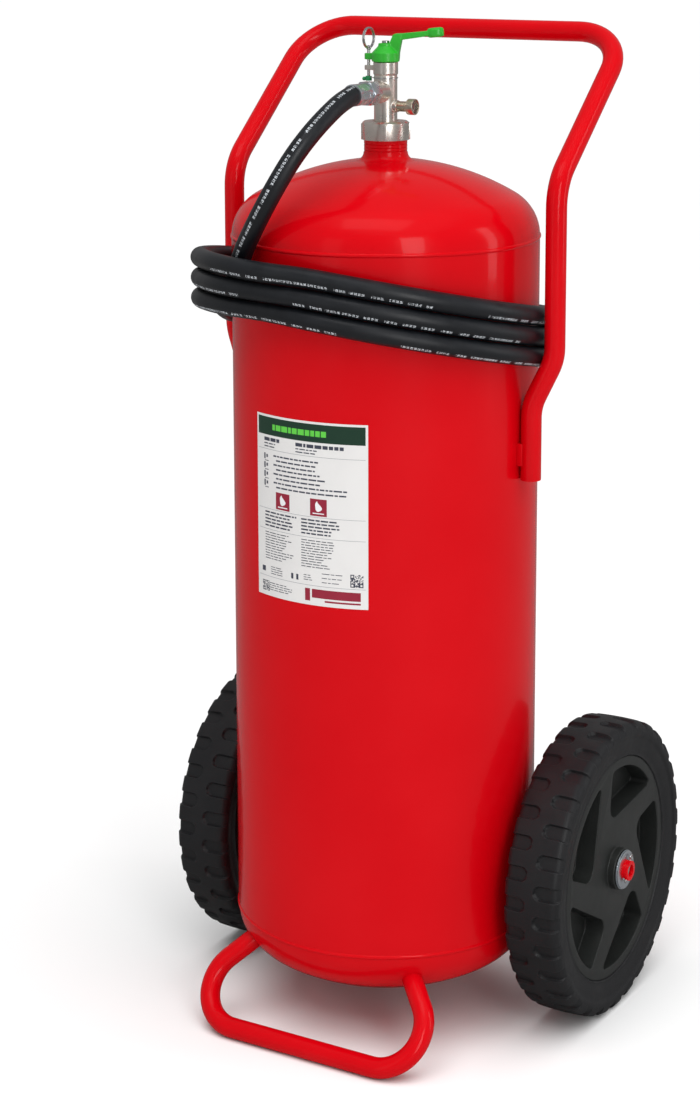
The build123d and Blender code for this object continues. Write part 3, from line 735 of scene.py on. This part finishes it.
class EXT_OT_label(bpy.types.Operator):
    """Instruction label with plain bars in place of print"""
    bl_idname = "extinguisher.label"
    bl_label = "Label"

    def lines(self, random, left, right, top, count, pitch, height, shortest):
        """Lines of print as rows of bars, each bar a word, with the last bar of a row cut short. shortest
        is the least length of a row, as a share of the full one."""
        least_bar, least_word, most_word, gap = 0.0015, 0.0025, 0.0085, 0.0011
        bars = []
        for k in range(count):
            end = right - random.uniform(0, (right - left) * (1 - shortest))
            x = left
            while x < end - least_bar:
                word = random.uniform(least_word, most_word)
                bars.append((x, min(x + word, end), top - k * pitch - height, top - k * pitch))
                x += word + gap
        return bars

    def flame(self, centre, bottom, height, slices=14):
        """Flame drawn in slices: each is as wide as a sine of its height, and leans with another."""
        shapes = []
        for k in range(slices):
            share = (k + 0.5) / slices
            half = 0.34 * height * math.sin(math.pi * share ** 0.62)
            lean = centre + 0.10 * height * math.sin(5.5 * share)
            shapes.append((lean - half, lean + half, bottom + height * k / slices,
                           bottom + height * (k + 1) / slices))
        return shapes

    def code_square(self, random, left, bottom, size, cells=13):
        """Square of small blocks set at random, with a hollow square in three corners."""
        cell = size / cells
        filled = random.random((cells, cells)) > 0.5
        for row, column in ((0, 0), (0, cells - 4), (cells - 4, 0)):
            filled[row:row + 4, column:column + 4] = True
            filled[row + 1:row + 3, column + 1:column + 3] = False
        blocks = []
        for row in range(cells):
            edges = np.flatnonzero(np.diff(np.concatenate([[0], filled[row].astype(int), [0]])))
            for start, end in zip(edges[::2], edges[1::2]):
                blocks.append((left + start * cell, left + end * cell,
                               bottom + row * cell, bottom + (row + 1) * cell))
        return blocks

    def execute(self, context):
        settings = context.scene.ext_label
        random = np.random.default_rng(7)
        bottom, top = low("label").z, high("label").z
        half = math.asin(high("label").x / TANK_R) * TANK_R
        film_r = TANK_R + 0.00003
        film_thickness, ink_thickness = 0.00030, 0.00004
        film = curved_plates("film", [(-half, half, bottom, top)], film_r, film_thickness)
        ground = finish("label_film", settings.ground, (500, 0.00002, 0.28, 0.36, 20), mottle=0.015,
                        Coat_Weight=0.2, Coat_Roughness=0.15)
        piece("label_film", film, ground, replaced=["label"])
        margin = 0.0022
        left, right = -half + margin, half - margin
        # Kinds of print: (pitch of the rows, height of the bars).
        heavy, light = (0.003, 0.0034), (0.0029, 0.0011)
        steps, body, small, foot = (0.003, 0.0015), (0.0033, 0.0015), (0.00255, 0.0008), (0.0022, 0.0007)
        # Blocks of print: start and end from the left margin, drop from the top, rows, kind, shortest row.
        blocks = [(0.0090, 0.031, 0.0220, 1, *heavy, 1.0), (0.050, 0.103, 0.0220, 1, *heavy, 1.0),
                  (0.0090, 0.026, 0.0272, 2, *light, 0.8), (0.050, 0.075, 0.0272, 2, *light, 0.7)]
        blocks += [((0.022, 0.0255)[k % 2], 0.085 if k < 6 else 0.112, 0.0380 + 0.0043 * k, 1, *steps, 0.75)
                   for k in range(8)]
        for column in (0.0095, 0.0560):
            blocks += [(column, column + 0.041, 0.0938, 5, *body, 0.75),
                       (column, column + 0.038, 0.1140, 11, *small, 0.60)]
        blocks += [(0.0175, 0.034, 0.1475, 4, *foot, 0.8), (0.0585, 0.069, 0.1480, 3, *foot, 0.8),
                   (0.0780, 0.100, 0.1450, 3, 0.0042, 0.0007, 0.7), (0.0150, 0.046, 0.1635, 4, *foot, 0.7)]
        dark = [bar for start, end, drop, *rows in blocks
                for bar in self.lines(random, left + start, left + end, top - drop, *rows)]
        dark += self.code_square(random, left + 0.1065, top - 0.1560, 0.0125)
        dark += self.code_square(random, left + 0.0050, top - 0.1725, 0.0100)
        # Rectangles: two ends from the left margin, then the drops of the bottom and the top edge.
        pictures = [(x0, x1, low_drop + 0.0086 * k, high_drop + 0.0086 * k) for k in range(4)
                    for x0, x1, low_drop, high_drop in ((0.0085, 0.0105, 0.0433, 0.0375),
                                                        (0.0118, 0.0140, 0.0415, 0.0385),
                                                        (0.0095, 0.0150, 0.0450, 0.0443))]
        marks = [(0.0045, 0.0095, 0.1535, 0.1485), (0.0440, 0.0465, 0.1545, 0.1490),
                 (0.0500, 0.0525, 0.1545, 0.1490)]
        maker = [(0.0600, 0.0655, 0.1730, 0.1610), (0.0675, 0.1165, 0.1695, 0.1610),
                 (0.0810, 0.1165, 0.1730, 0.1713)]

        def placed(rectangles):
            """Plates from rectangles measured to the right of the left margin and down from the top."""
            return [(left + x0, left + x1, top - bottom_drop, top - top_drop)
                    for x0, x1, bottom_drop, top_drop in rectangles]

        dark += placed(pictures + marks)
        rule = 0.0004
        rules = [(left, right, top - drop, top - drop + rule) for drop in (0.0335, 0.0915, 0.1115, 0.1580)]
        squares = [(left + 0.0250, top - 0.0900), (left + 0.0660, top - 0.0900)]
        red = [(x, x + 0.0175, z, z + 0.0165) for x, z in squares] + placed(maker)
        white = []
        for x, z in squares:
            white += self.flame(x + 0.0082, z + 0.0044, 0.0100)
            white.append((x + 0.0028, x + 0.0147, z + 0.0020, z + 0.0030))
        stripe = self.lines(random, left + 0.0210, left + 0.0830, top - 0.0085, 1, 0.003, 0.0055, 1.0)
        band = [(left, right, top - 0.0195, top - margin)]
        ink_r = film_r + film_thickness
        prints = [("label_band", band, settings.band, 0.0),
                  ("label_stripe", stripe, (0.10, 0.55, 0.05), ink_thickness),
                  ("label_rules", rules, (0.30, 0.31, 0.33), 0.0),
                  ("label_print", dark, settings.ink, 0.0),
                  ("label_red", red, (0.27, 0.008, 0.03), 0.0),
                  ("label_white", white, (0.75, 0.75, 0.76), ink_thickness)]
        for name, plates, colour, lift in prints:
            mesh = curved_plates(name, plates, ink_r + lift, ink_thickness)
            ink = finish(name + "_ink", colour, (600, 0.00001, 0.30, 0.40, 30), mottle=0.05)
            piece(name, mesh, ink)
        return {"FINISHED"}


# --- hose -----------------------------------------------------------------------------------------


def round_vessel(radius, degrees, height):
    """Point at an angle round the vessel, counted from the front towards +X."""
    angle = math.radians(degrees)
    return (radius * math.sin(angle), -radius * math.cos(angle), height)


class EXT_OT_hose(bpy.types.Operator):
    """Discharge hose wound round the vessel"""
    bl_idname = "extinguisher.hose"
    bl_label = "Hose"

    # The route, from the vessel's axis: lead and last are (x, y, z), and under and tail, which lie round
    # the vessel, are (radius, degrees from the front, height). A turn begins to stand out at the first
    # angle of its rise and stands out fully from the second, up to the second angle of its fall, and lies
    # close again at the first.
    lead = [(0, -0.063, 0.927), (0, -0.0805, 0.923), (-0.0005, -0.103, 0.9135), (-0.0055, -0.126, 0.8975),
            (-0.0145, -0.145, 0.8755), (-0.027, -0.1565, 0.848), (-0.045, -0.1585, 0.817),
            (-0.066, -0.149, 0.7885)]
    under = [(0.1612, -29.8, 0.7665), (0.1615, -38, 0.7487), (0.1617, -48.5, 0.7335),
             (0.1617, -61.5, 0.7175), (0.1617, -75, 0.704)]
    tail = [(0.166, -104, 0.747), (0.178, -119, 0.743), (0.184, -134, 0.727), (0.1855, -147, 0.697),
            (0.1845, -154.5, 0.657)]
    last = [(-0.068, 0.1695, 0.616), (-0.068, 0.169, 0.580)]
    rises = [(-10, -38), (-2, -28), (6, -20)]
    falls = [(-85, -64), (-83, -62), (-83, -62)]

    def turn_points(self, settings):
        """Turns round the vessel: the angle falls by equal steps, each turn rises behind the vessel, the
        plane of the turns is tilted, and the turns stand out where they cross the lead."""
        start, step, behind = -88.0, 15.0, 184.0
        level_height, front_tilt, side_tilt = 0.7379, 0.0304, 0.0164
        points = []
        for k in range(int(settings.turns * 360 / step) + 1):
            angle = math.radians(start - step * k)
            turn, done = divmod(step * k, 360)
            climb = (turn - settings.turns + ease(done / behind)) * settings.lift
            shown = math.degrees(math.atan2(math.sin(angle), math.cos(angle)))
            out = 0.0
            if done > behind:
                row = min(int(turn), len(self.rises) - 1)
                rise, fall = self.rises[row], self.falls[row]
                out = ease((rise[0] - shown) / (rise[0] - rise[1]))
                out *= ease((shown - fall[0]) / (fall[1] - fall[0])) * settings.bulge
            height = level_height + front_tilt * math.cos(angle) - side_tilt * math.sin(angle) + climb
            radius = (settings.turn_radius + out) / math.cos(math.radians(step / 2))
            points.append(round_vessel(radius, shown, height))
        return points

    def centre_line(self, points):
        """Smooth middle line of the hose: a NURBS spline of order 3 through its control points."""
        curve = bpy.data.curves.new("hose_line", "CURVE")
        curve.dimensions = "3D"
        spline = curve.splines.new("NURBS")
        spline.points.add(len(points) - 1)
        spline.points.foreach_set("co", np.c_[np.array(points), np.ones(len(points))].ravel())
        spline.order_u = 3
        spline.use_endpoint_u = True
        spline.resolution_u = 10
        line = bpy.data.objects.new("hose_line", curve)
        bpy.context.scene.collection.objects.link(line)
        bpy.context.view_layer.update()
        mesh = bpy.data.meshes.new_from_object(line)
        found = np.zeros(len(mesh.vertices) * 3, np.float32)
        mesh.vertices.foreach_get("co", found)
        bpy.data.meshes.remove(mesh)
        bpy.data.objects.remove(line)
        found = found.reshape(-1, 3).astype(float)
        step = np.linalg.norm(np.diff(found, axis=0), axis=1)
        return found[np.concatenate([[True], step > WELD_DISTANCE])]

    def execute(self, context):
        settings = context.scene.ext_hose
        points = self.lead + [round_vessel(*p) for p in self.under] + self.turn_points(settings)
        points += [round_vessel(*p) for p in self.tail] + self.last
        points = np.array(points) + (0, TANK_Y, 0)
        line = self.centre_line(points)
        mesh = tube("hose", line, settings.diameter / 2, 28, first_side=(-0.35, 0, -1))
        hose = piece("hose", mesh, hose_finish(settings),
                     replaced=["hose_lead", "hose_coil", "hose_run"])
        return {"FINISHED"}


# --- wheels ---------------------------------------------------------------------------------------


class EXT_OT_wheels(bpy.types.Operator):
    """Rims, tyres, washers and split pins"""
    bl_idname = "extinguisher.wheels"
    bl_label = "Wheels"

    def tyre_outline(self):
        """Half of the tyre's section as (radius, distance from the wheel's middle plane): a crowned
        tread, a rounded shoulder, a swelling side wall with two fine steps, and the seat on the rim."""
        seat, seat_r = 0.0235, RIM_R + 0.0002
        tread_half, tread_drop = 0.0215, 0.0007
        shoulder_height, shoulder_width = 0.0085, TYRE_HALF - tread_half
        tread = np.linspace(0, tread_half, 22)
        crown = TYRE_R - tread_drop * (tread / tread_half) ** 2
        arc = np.linspace(0, math.pi / 2, 9)[1:]
        shoulder = np.stack([crown[-1] - shoulder_height * (1 - np.cos(arc)),
                             tread_half + shoulder_width * np.sin(arc)], 1)
        wall = np.array([(0.1370, 0.0001), (0.1335, 0.0004), (0.1330, 0.0011), (0.1290, 0.0016),
                         (0.1235, 0.0026), (0.1190, 0.0038), (0.1160, 0.0050)])
        wall[:, 1] = TYRE_HALF - wall[:, 1]
        foot = [(0.1142, seat + 0.0010), (seat_r, seat), (seat_r, seat * 0.5)]
        return np.concatenate([np.stack([crown, tread], 1), shoulder, wall, foot])

    def tread_angles(self, settings):
        """Angles of the grid: the same steps in every half pitch, closer where a pocket's wall stands."""
        half_pitch = math.pi / settings.lugs
        share = np.array([0, .09, .18, .27, .35, .41, .455, .485, .515, .545, .59, .65, .73, .82, .91])
        return (np.arange(2 * settings.lugs)[:, None] + share[None, :]).ravel() * half_pitch

    def pocket_depth(self, settings, angle, across, radius):
        """Depth of the tread pockets: each is a slot with a round end, cut in from a shoulder; the depth
        follows a smooth step on the distance to its outline, and fades out down the side wall."""
        pitch = TAU / settings.lugs
        half_width = 0.23 * pitch * TYRE_R
        wall_width = 0.0011
        fade_start, fade_height = 0.1375, 0.004
        end = settings.pocket_length - half_width
        depth = np.zeros(np.broadcast(angle, across).shape)
        for side, shift in ((1, 0.0), (-1, 0.5)):
            turn = (angle / pitch + shift + 0.5) % 1.0 - 0.5
            around = np.abs(turn) * pitch * TYRE_R
            beyond = np.maximum(TYRE_HALF - side * across - end, 0)
            distance = np.hypot(around, beyond) - half_width
            depth += ease(0.5 - distance / wall_width) * (side * across > 0)
        return settings.pocket_depth * depth * np.clip((radius - fade_start) / fade_height, 0, 1)

    def tyre(self, settings, side):
        """Tyre: its section is turned round the axle, and the tread pockets are sunk square to it."""
        half = self.tyre_outline()
        section = np.concatenate([half, half[:0:-1] * (1, -1)])
        angle = self.tread_angles(settings)[:, None]
        radius, across = section[None, :, 0], section[None, :, 1]
        sunk = radius - self.pocket_depth(settings, angle, across, radius)
        points = np.stack([AXLE.x * side + np.broadcast_to(across, sunk.shape),
                           AXLE.y + sunk * np.sin(angle), AXLE.z + sunk * np.cos(angle)], -1)
        faces = grid_faces(len(angle), len(section), True, True)
        mesh = new_mesh("tyre", points.reshape(-1, 3), [faces])
        return sharpen(point_outwards(mesh), 50)

    def execute(self, context):
        settings = context.scene.ext_wheel
        for side, sign in SIDES:
            body = f"wheel_{side}"
            piece(f"tread_{side}", self.tyre(settings, sign), material("tyre"), body,
                  [f"tyre_{side}"])
            piece(f"rim_{side}", merged_copy(f"wheel_rim_{side}", edge=0.0022, steps=4), material("rim"),
                  body, [f"wheel_rim_{side}"])
            piece(f"bushes_{side}", merged_copy(f"hub_bushes_{side}", edge=0.0003), material("bush"), body,
                  [f"hub_bushes_{side}"])
            piece(f"washers_{side}", merged_copy(f"axle_washers_{side}", edge=0.0003), material("zinc"),
                  "root", [f"axle_washers_{side}"])
            piece(f"cotter_{side}", merged_copy(f"split_pin_{side}"), material("steel"), "root",
                  [f"split_pin_{side}"])
        return {"FINISHED"}


# --- valve ----------------------------------------------------------------------------------------


class EXT_OT_valve(bpy.types.Operator):
    """Valve with its lever, safety pin, tamper seal and gauge"""
    bl_idname = "extinguisher.valve"
    bl_label = "Valve"

    copies = [
        ("valve_casting", "valve_body", "nickel", "root", "nickel", 0.0),
        ("neck_nut", "ring_nut", "nut_nickel", "root", "nickel", 0.0004),
        ("swivel_nut", "hose_nut", "zinc", "root", "zinc", 0.0004),
        ("hose_end", "hose_tail", "zinc", "root", "zinc", 0.0002),
        ("crimped_ferrule", "hose_ferrule", "zinc", "root", "zinc", 0.0006),
        ("gauge_shell", "gauge_case", "brass", "root", "nickel", 0.0004),
        ("needle", "gauge_needle", "needle", "needle", "needle", 0.0),
        ("lever_cap_screw", "lever_screw", "steel", "lever", "steel", 0.0003),
        ("lever", "valve_lever", "lever", "lever", "green_plastic", 0.0),
        ("pin", "safety_pin", "steel", "pin", "steel", 0.0001),
        ("tamper_bead", "seal_bead", "seal", "root", "seal_green", 0.0003),
        ("tamper_wire", "seal_wire", "steel", "root", "steel", 0.0),
    ]
    # Pieces fused into one skin, with the size of its cells and its rounds of smoothing.
    moulds = {"valve_casting": (0.0005, 5), "lever": (0.00045, 9)}

    def split_ring(self):
        """Pull ring of round wire: a circle carried twice round, with a small step sideways."""
        centre = middle("pull_ring")
        wire_r, sideways, lap = 0.0007, 0.0015, 0.15
        radius = (high("pull_ring").z - low("pull_ring").z) / 2 - wire_r
        angle = np.linspace(-lap, 2 * TAU + lap, 190)
        step = sideways * (ease((angle - TAU + 2 * lap) / (4 * lap)) - 0.5)
        line = np.stack([centre.x + step, centre.y + radius * np.sin(angle),
                         centre.z + radius * np.cos(angle)], 1)
        return tube("ring", line, wire_r, 12, first_side=(1, 0, 0))

    def dial(self):
        """Printed dial: a green arc between two red ones, in thin curved plates."""
        x = high("gauge_dial").x
        centre = middle("gauge_dial")
        inner, outer, thickness, steps = 0.0034, 0.0056, 0.00008, 20
        section = ((inner, 0), (outer, 0), (outer, thickness), (inner, thickness))
        last = (steps - 1) * len(section)
        plates = []
        for start, end, name in ((-50, 35, "green"), (35, 125, "red"), (-130, -50, "red")):
            angle = np.radians(np.linspace(start, end, steps))
            ring = np.stack([np.stack([np.full(steps, x + lift), centre.y + radius * np.sin(angle),
                                       centre.z + radius * np.cos(angle)], 1)
                             for radius, lift in section], 1)
            ends = np.array([[0, 1, 2, 3], [last + 3, last + 2, last + 1, last]])
            faces = [grid_faces(steps, len(section), False, True), ends]
            plates.append((name, point_outwards(new_mesh(name, ring.reshape(-1, 3), faces))))
        return plates

    def execute(self, context):
        made = copy_pieces(self.copies)
        for name, (voxel, rounds) in self.moulds.items():
            moulded(made[name], voxel, rounds)
        piece("pull_split_ring", self.split_ring(), material("steel"), "ring", ["pull_ring"])
        for node, look in (("neck_seal", "gasket"), ("outlet_seal", "gasket"), ("dip_tube", "dip"),
                           ("dip_tube_strainer", "dip"), ("valve_plug", "steel"),
                           ("valve_bonnet", "steel"), ("valve_spring", "steel")):
            finish_node(node, material(look))
        face = finish("dial_face", (0.75, 0.74, 0.70), (700, 0.00001, 0.3, 0.4, 60), mottle=0.03)
        finish_node("gauge_dial", face)
        colours = {"green": (0.03, 0.30, 0.05), "red": (0.55, 0.02, 0.02)}
        for k, (name, mesh) in enumerate(self.dial()):
            look = finish(f"dial_{name}_{k}", colours[name], (700, 0.00001, 0.3, 0.4, 60), mottle=0.05)
            piece(f"dial_arc_{k}", mesh, look, "root")
        lens = bpy.data.materials.new("gauge_lens")
        lens.use_nodes = True
        shader = lens.node_tree.nodes["Principled BSDF"]
        shader.inputs["Base Color"].default_value = (0.95, 0.97, 0.97, 1)
        shader.inputs["Transmission Weight"].default_value = 1.0
        noise = add(lens.node_tree, "TexNoise", {"Scale": 300.0})
        lens.node_tree.links.new(span(lens.node_tree, noise.outputs["Fac"], 0.3, 0.7, 0.03, 0.10),
                                 shader.inputs["Roughness"])
        finish_node("gauge_lens", lens)
        return {"FINISHED"}


# --- gun and holder -------------------------------------------------------------------------------


class EXT_OT_gun(bpy.types.Operator):
    """Discharge gun in its holder behind the vessel"""
    bl_idname = "extinguisher.gun"
    bl_label = "Gun and holder"

    copies = [
        ("gun_end_ferrule", "gun_ferrule", "zinc", "root", "zinc", 0.0005),
        ("gun_pin", "gun_hinge_pin", "steel", "root", "steel", 0.0003),
        ("tip_cup", "nozzle_cup", "paint", "root", "red_paint", 0.0006),
        ("gun_clip", "holder_clip", "paint", "root", "red_paint", 0.0006),
    ]

    def execute(self, context):
        copy_pieces(self.copies)
        for node, look in (("gun_plunger", "steel"), ("gun_body", "gun"), ("gun_lever", "gun"),
                           ("lance_tube", "aluminium"), ("nozzle_tip", "aluminium")):
            finish_node(node, material(look))
        return {"FINISHED"}


# --- studio ---------------------------------------------------------------------------------------


class EXT_OT_studio(bpy.types.Operator):
    """Floor, soft light and camera"""
    bl_idname = "extinguisher.studio"
    bl_label = "Studio"

    # Soft panels: name, place, height of the point they face, width, height and share of the key's power.
    panels = [("key", (2.6, -2.2, 1.6), 0.5, 1.0, 2.4, 1.00),
              ("fill", (-0.6, -3.6, 1.3), 0.5, 0.9, 2.4, 0.08),
              ("top", (0.3, -1.0, 3.0), 0.9, 1.6, 1.2, 0.20),
              ("edge", (2.8, 1.2, 1.4), 0.5, 0.5, 2.4, 0.30)]

    def soft_light(self, name, place, aim_height, width, height, power):
        """Large soft panel of light that faces a point on the object's middle line."""
        light = bpy.data.lights.new(name, "AREA")
        light.shape = "RECTANGLE"
        light.size = width
        light.size_y = height
        light.energy = power
        lamp = bpy.data.objects.new(name, light)
        lamp.location = place
        direction = Vector((0, 0, aim_height)) - Vector(place)
        lamp.rotation_euler = direction.to_track_quat("-Z", "Y").to_euler()
        bpy.context.scene.collection.objects.link(lamp)

    def overhead_light(self, settings):
        """Wide light from above, which gloss doesn't show."""
        sun = bpy.data.lights.new("overhead", "SUN")
        sun.energy = settings.overhead
        sun.angle = math.radians(70)
        overhead = bpy.data.objects.new("overhead", sun)
        overhead.location = (0, 0, 4)
        overhead.rotation_euler = (math.radians(12), math.radians(10), 0)
        overhead.visible_glossy = False
        bpy.context.scene.collection.objects.link(overhead)

    def floor(self, settings):
        """Flat round floor just below the wheels. Its rings stand closer near the middle: their radius
        grows with the square of their number. Seen in gloss, it is grey: a painted darker reflection."""
        rings, spokes, reach, height = 24, 64, 40.0, -0.0002
        radius = reach * np.linspace(0, 1, rings)[:, None] ** 2
        angle = np.linspace(0, TAU, spokes, endpoint=False)[None, :]
        points = np.stack([radius * np.cos(angle), radius * np.sin(angle),
                           np.full((rings, spokes), height)], -1)
        mesh = new_mesh("floor", points.reshape(-1, 3), [grid_faces(rings, spokes, False, True)])
        look = finish("floor_paper", settings.floor, (40, 0.00002, 0.6, 0.7, 2), mottle=0.004,
                      Specular_IOR_Level=0.0)
        tree = look.node_tree
        shader = tree.nodes["Principled BSDF"]
        pale = shader.inputs["Base Color"].links[0].from_socket
        # Painted reflection: gloss rays see the floor as dark grey, so the paint reflects a darker floor
        # than there is.
        mirrored = add(tree, "LightPath").outputs["Is Glossy Ray"]
        tree.links.new(mix_colour(tree, mirrored, pale, (0.20, 0.20, 0.20, 1)),
                       shader.inputs["Base Color"])
        mesh.materials.append(look)
        floor = bpy.data.objects.new("studio_floor", mesh)
        bpy.context.scene.collection.objects.link(floor)

    def camera(self):
        """Camera of 80 mm lens on a tall frame, level but for a tilt down, with the lens shifted."""
        camera = bpy.data.cameras.new("camera")
        camera.sensor_width = 36
        camera.lens = 79.85
        camera.shift_y = -0.1984
        camera.clip_end = 200
        seat = bpy.data.objects.new("camera", camera)
        heading, tilt, roll = 31.046, 10.031, -0.145
        turn = (Matrix.Rotation(math.radians(heading), 3, "Z")
                @ Matrix.Rotation(math.radians(90 - tilt), 3, "X")
                @ Matrix.Rotation(math.radians(roll), 3, "Z"))
        seat.rotation_euler = turn.to_euler()
        seat.location = (1.17857, -2.05875, 1.10780)
        bpy.context.scene.collection.objects.link(seat)
        bpy.context.scene.camera = seat

    def execute(self, context):
        settings = context.scene.ext_studio
        self.floor(settings)
        self.overhead_light(settings)
        for name, place, aim_height, width, height, share in self.panels:
            self.soft_light(name, place, aim_height, width, height, settings.key_power * share)
        world = bpy.data.worlds.new("room")
        world.use_nodes = True
        backdrop = world.node_tree.nodes["Background"]
        backdrop.inputs["Color"].default_value = (1, 1, 1, 1)
        backdrop.inputs["Strength"].default_value = settings.ambient
        context.scene.world = world
        context.scene.view_settings.view_transform = "Standard"
        self.camera()
        return {"FINISHED"}


class EXT_PT_panel(bpy.types.Panel):
    """Lists the builders of the extinguisher's pieces"""
    bl_label = "Extinguisher"
    bl_idname = "EXT_PT_panel"
    bl_space_type = "VIEW_3D"
    bl_region_type = "UI"
    bl_category = "Extinguisher"

    def draw(self, context):
        scene = context.scene
        for name, (_, title) in SETTINGS.items():
            box = self.layout.box()
            box.label(text=title)
            for prop in type(getattr(scene, name)).__annotations__:
                box.prop(getattr(scene, name), prop)
        for operator in OPERATORS:
            self.layout.operator(operator.bl_idname)


SETTINGS = {"ext_vessel": (VesselSettings, "Vessel"), "ext_label": (LabelSettings, "Label"),
            "ext_hose": (HoseSettings, "Hose"), "ext_wheel": (WheelSettings, "Wheels"),
            "ext_valve": (ValveSettings, "Valve"), "ext_studio": (StudioSettings, "Studio")}
OPERATORS = (EXT_OT_vessel, EXT_OT_frame, EXT_OT_label, EXT_OT_wheels, EXT_OT_valve, EXT_OT_gun,
             EXT_OT_hose, EXT_OT_studio)


def register():
    for settings, _ in SETTINGS.values():
        bpy.utils.register_class(settings)
    for cls in (*OPERATORS, EXT_PT_panel):
        bpy.utils.register_class(cls)
    for name, (settings, _) in SETTINGS.items():
        setattr(bpy.types.Scene, name, PointerProperty(type=settings))


def unregister():
    for name in SETTINGS:
        delattr(bpy.types.Scene, name)
    for cls in (EXT_PT_panel, *reversed(OPERATORS)):
        bpy.utils.unregister_class(cls)
    for settings, _ in SETTINGS.values():
        bpy.utils.unregister_class(settings)


def main():
    """Builds every piece and the studio."""
    register()
    for operator in OPERATORS:
        group, name = operator.bl_idname.split(".")
        getattr(getattr(bpy.ops, group), name)()


if __name__ == "__main__":
    main()
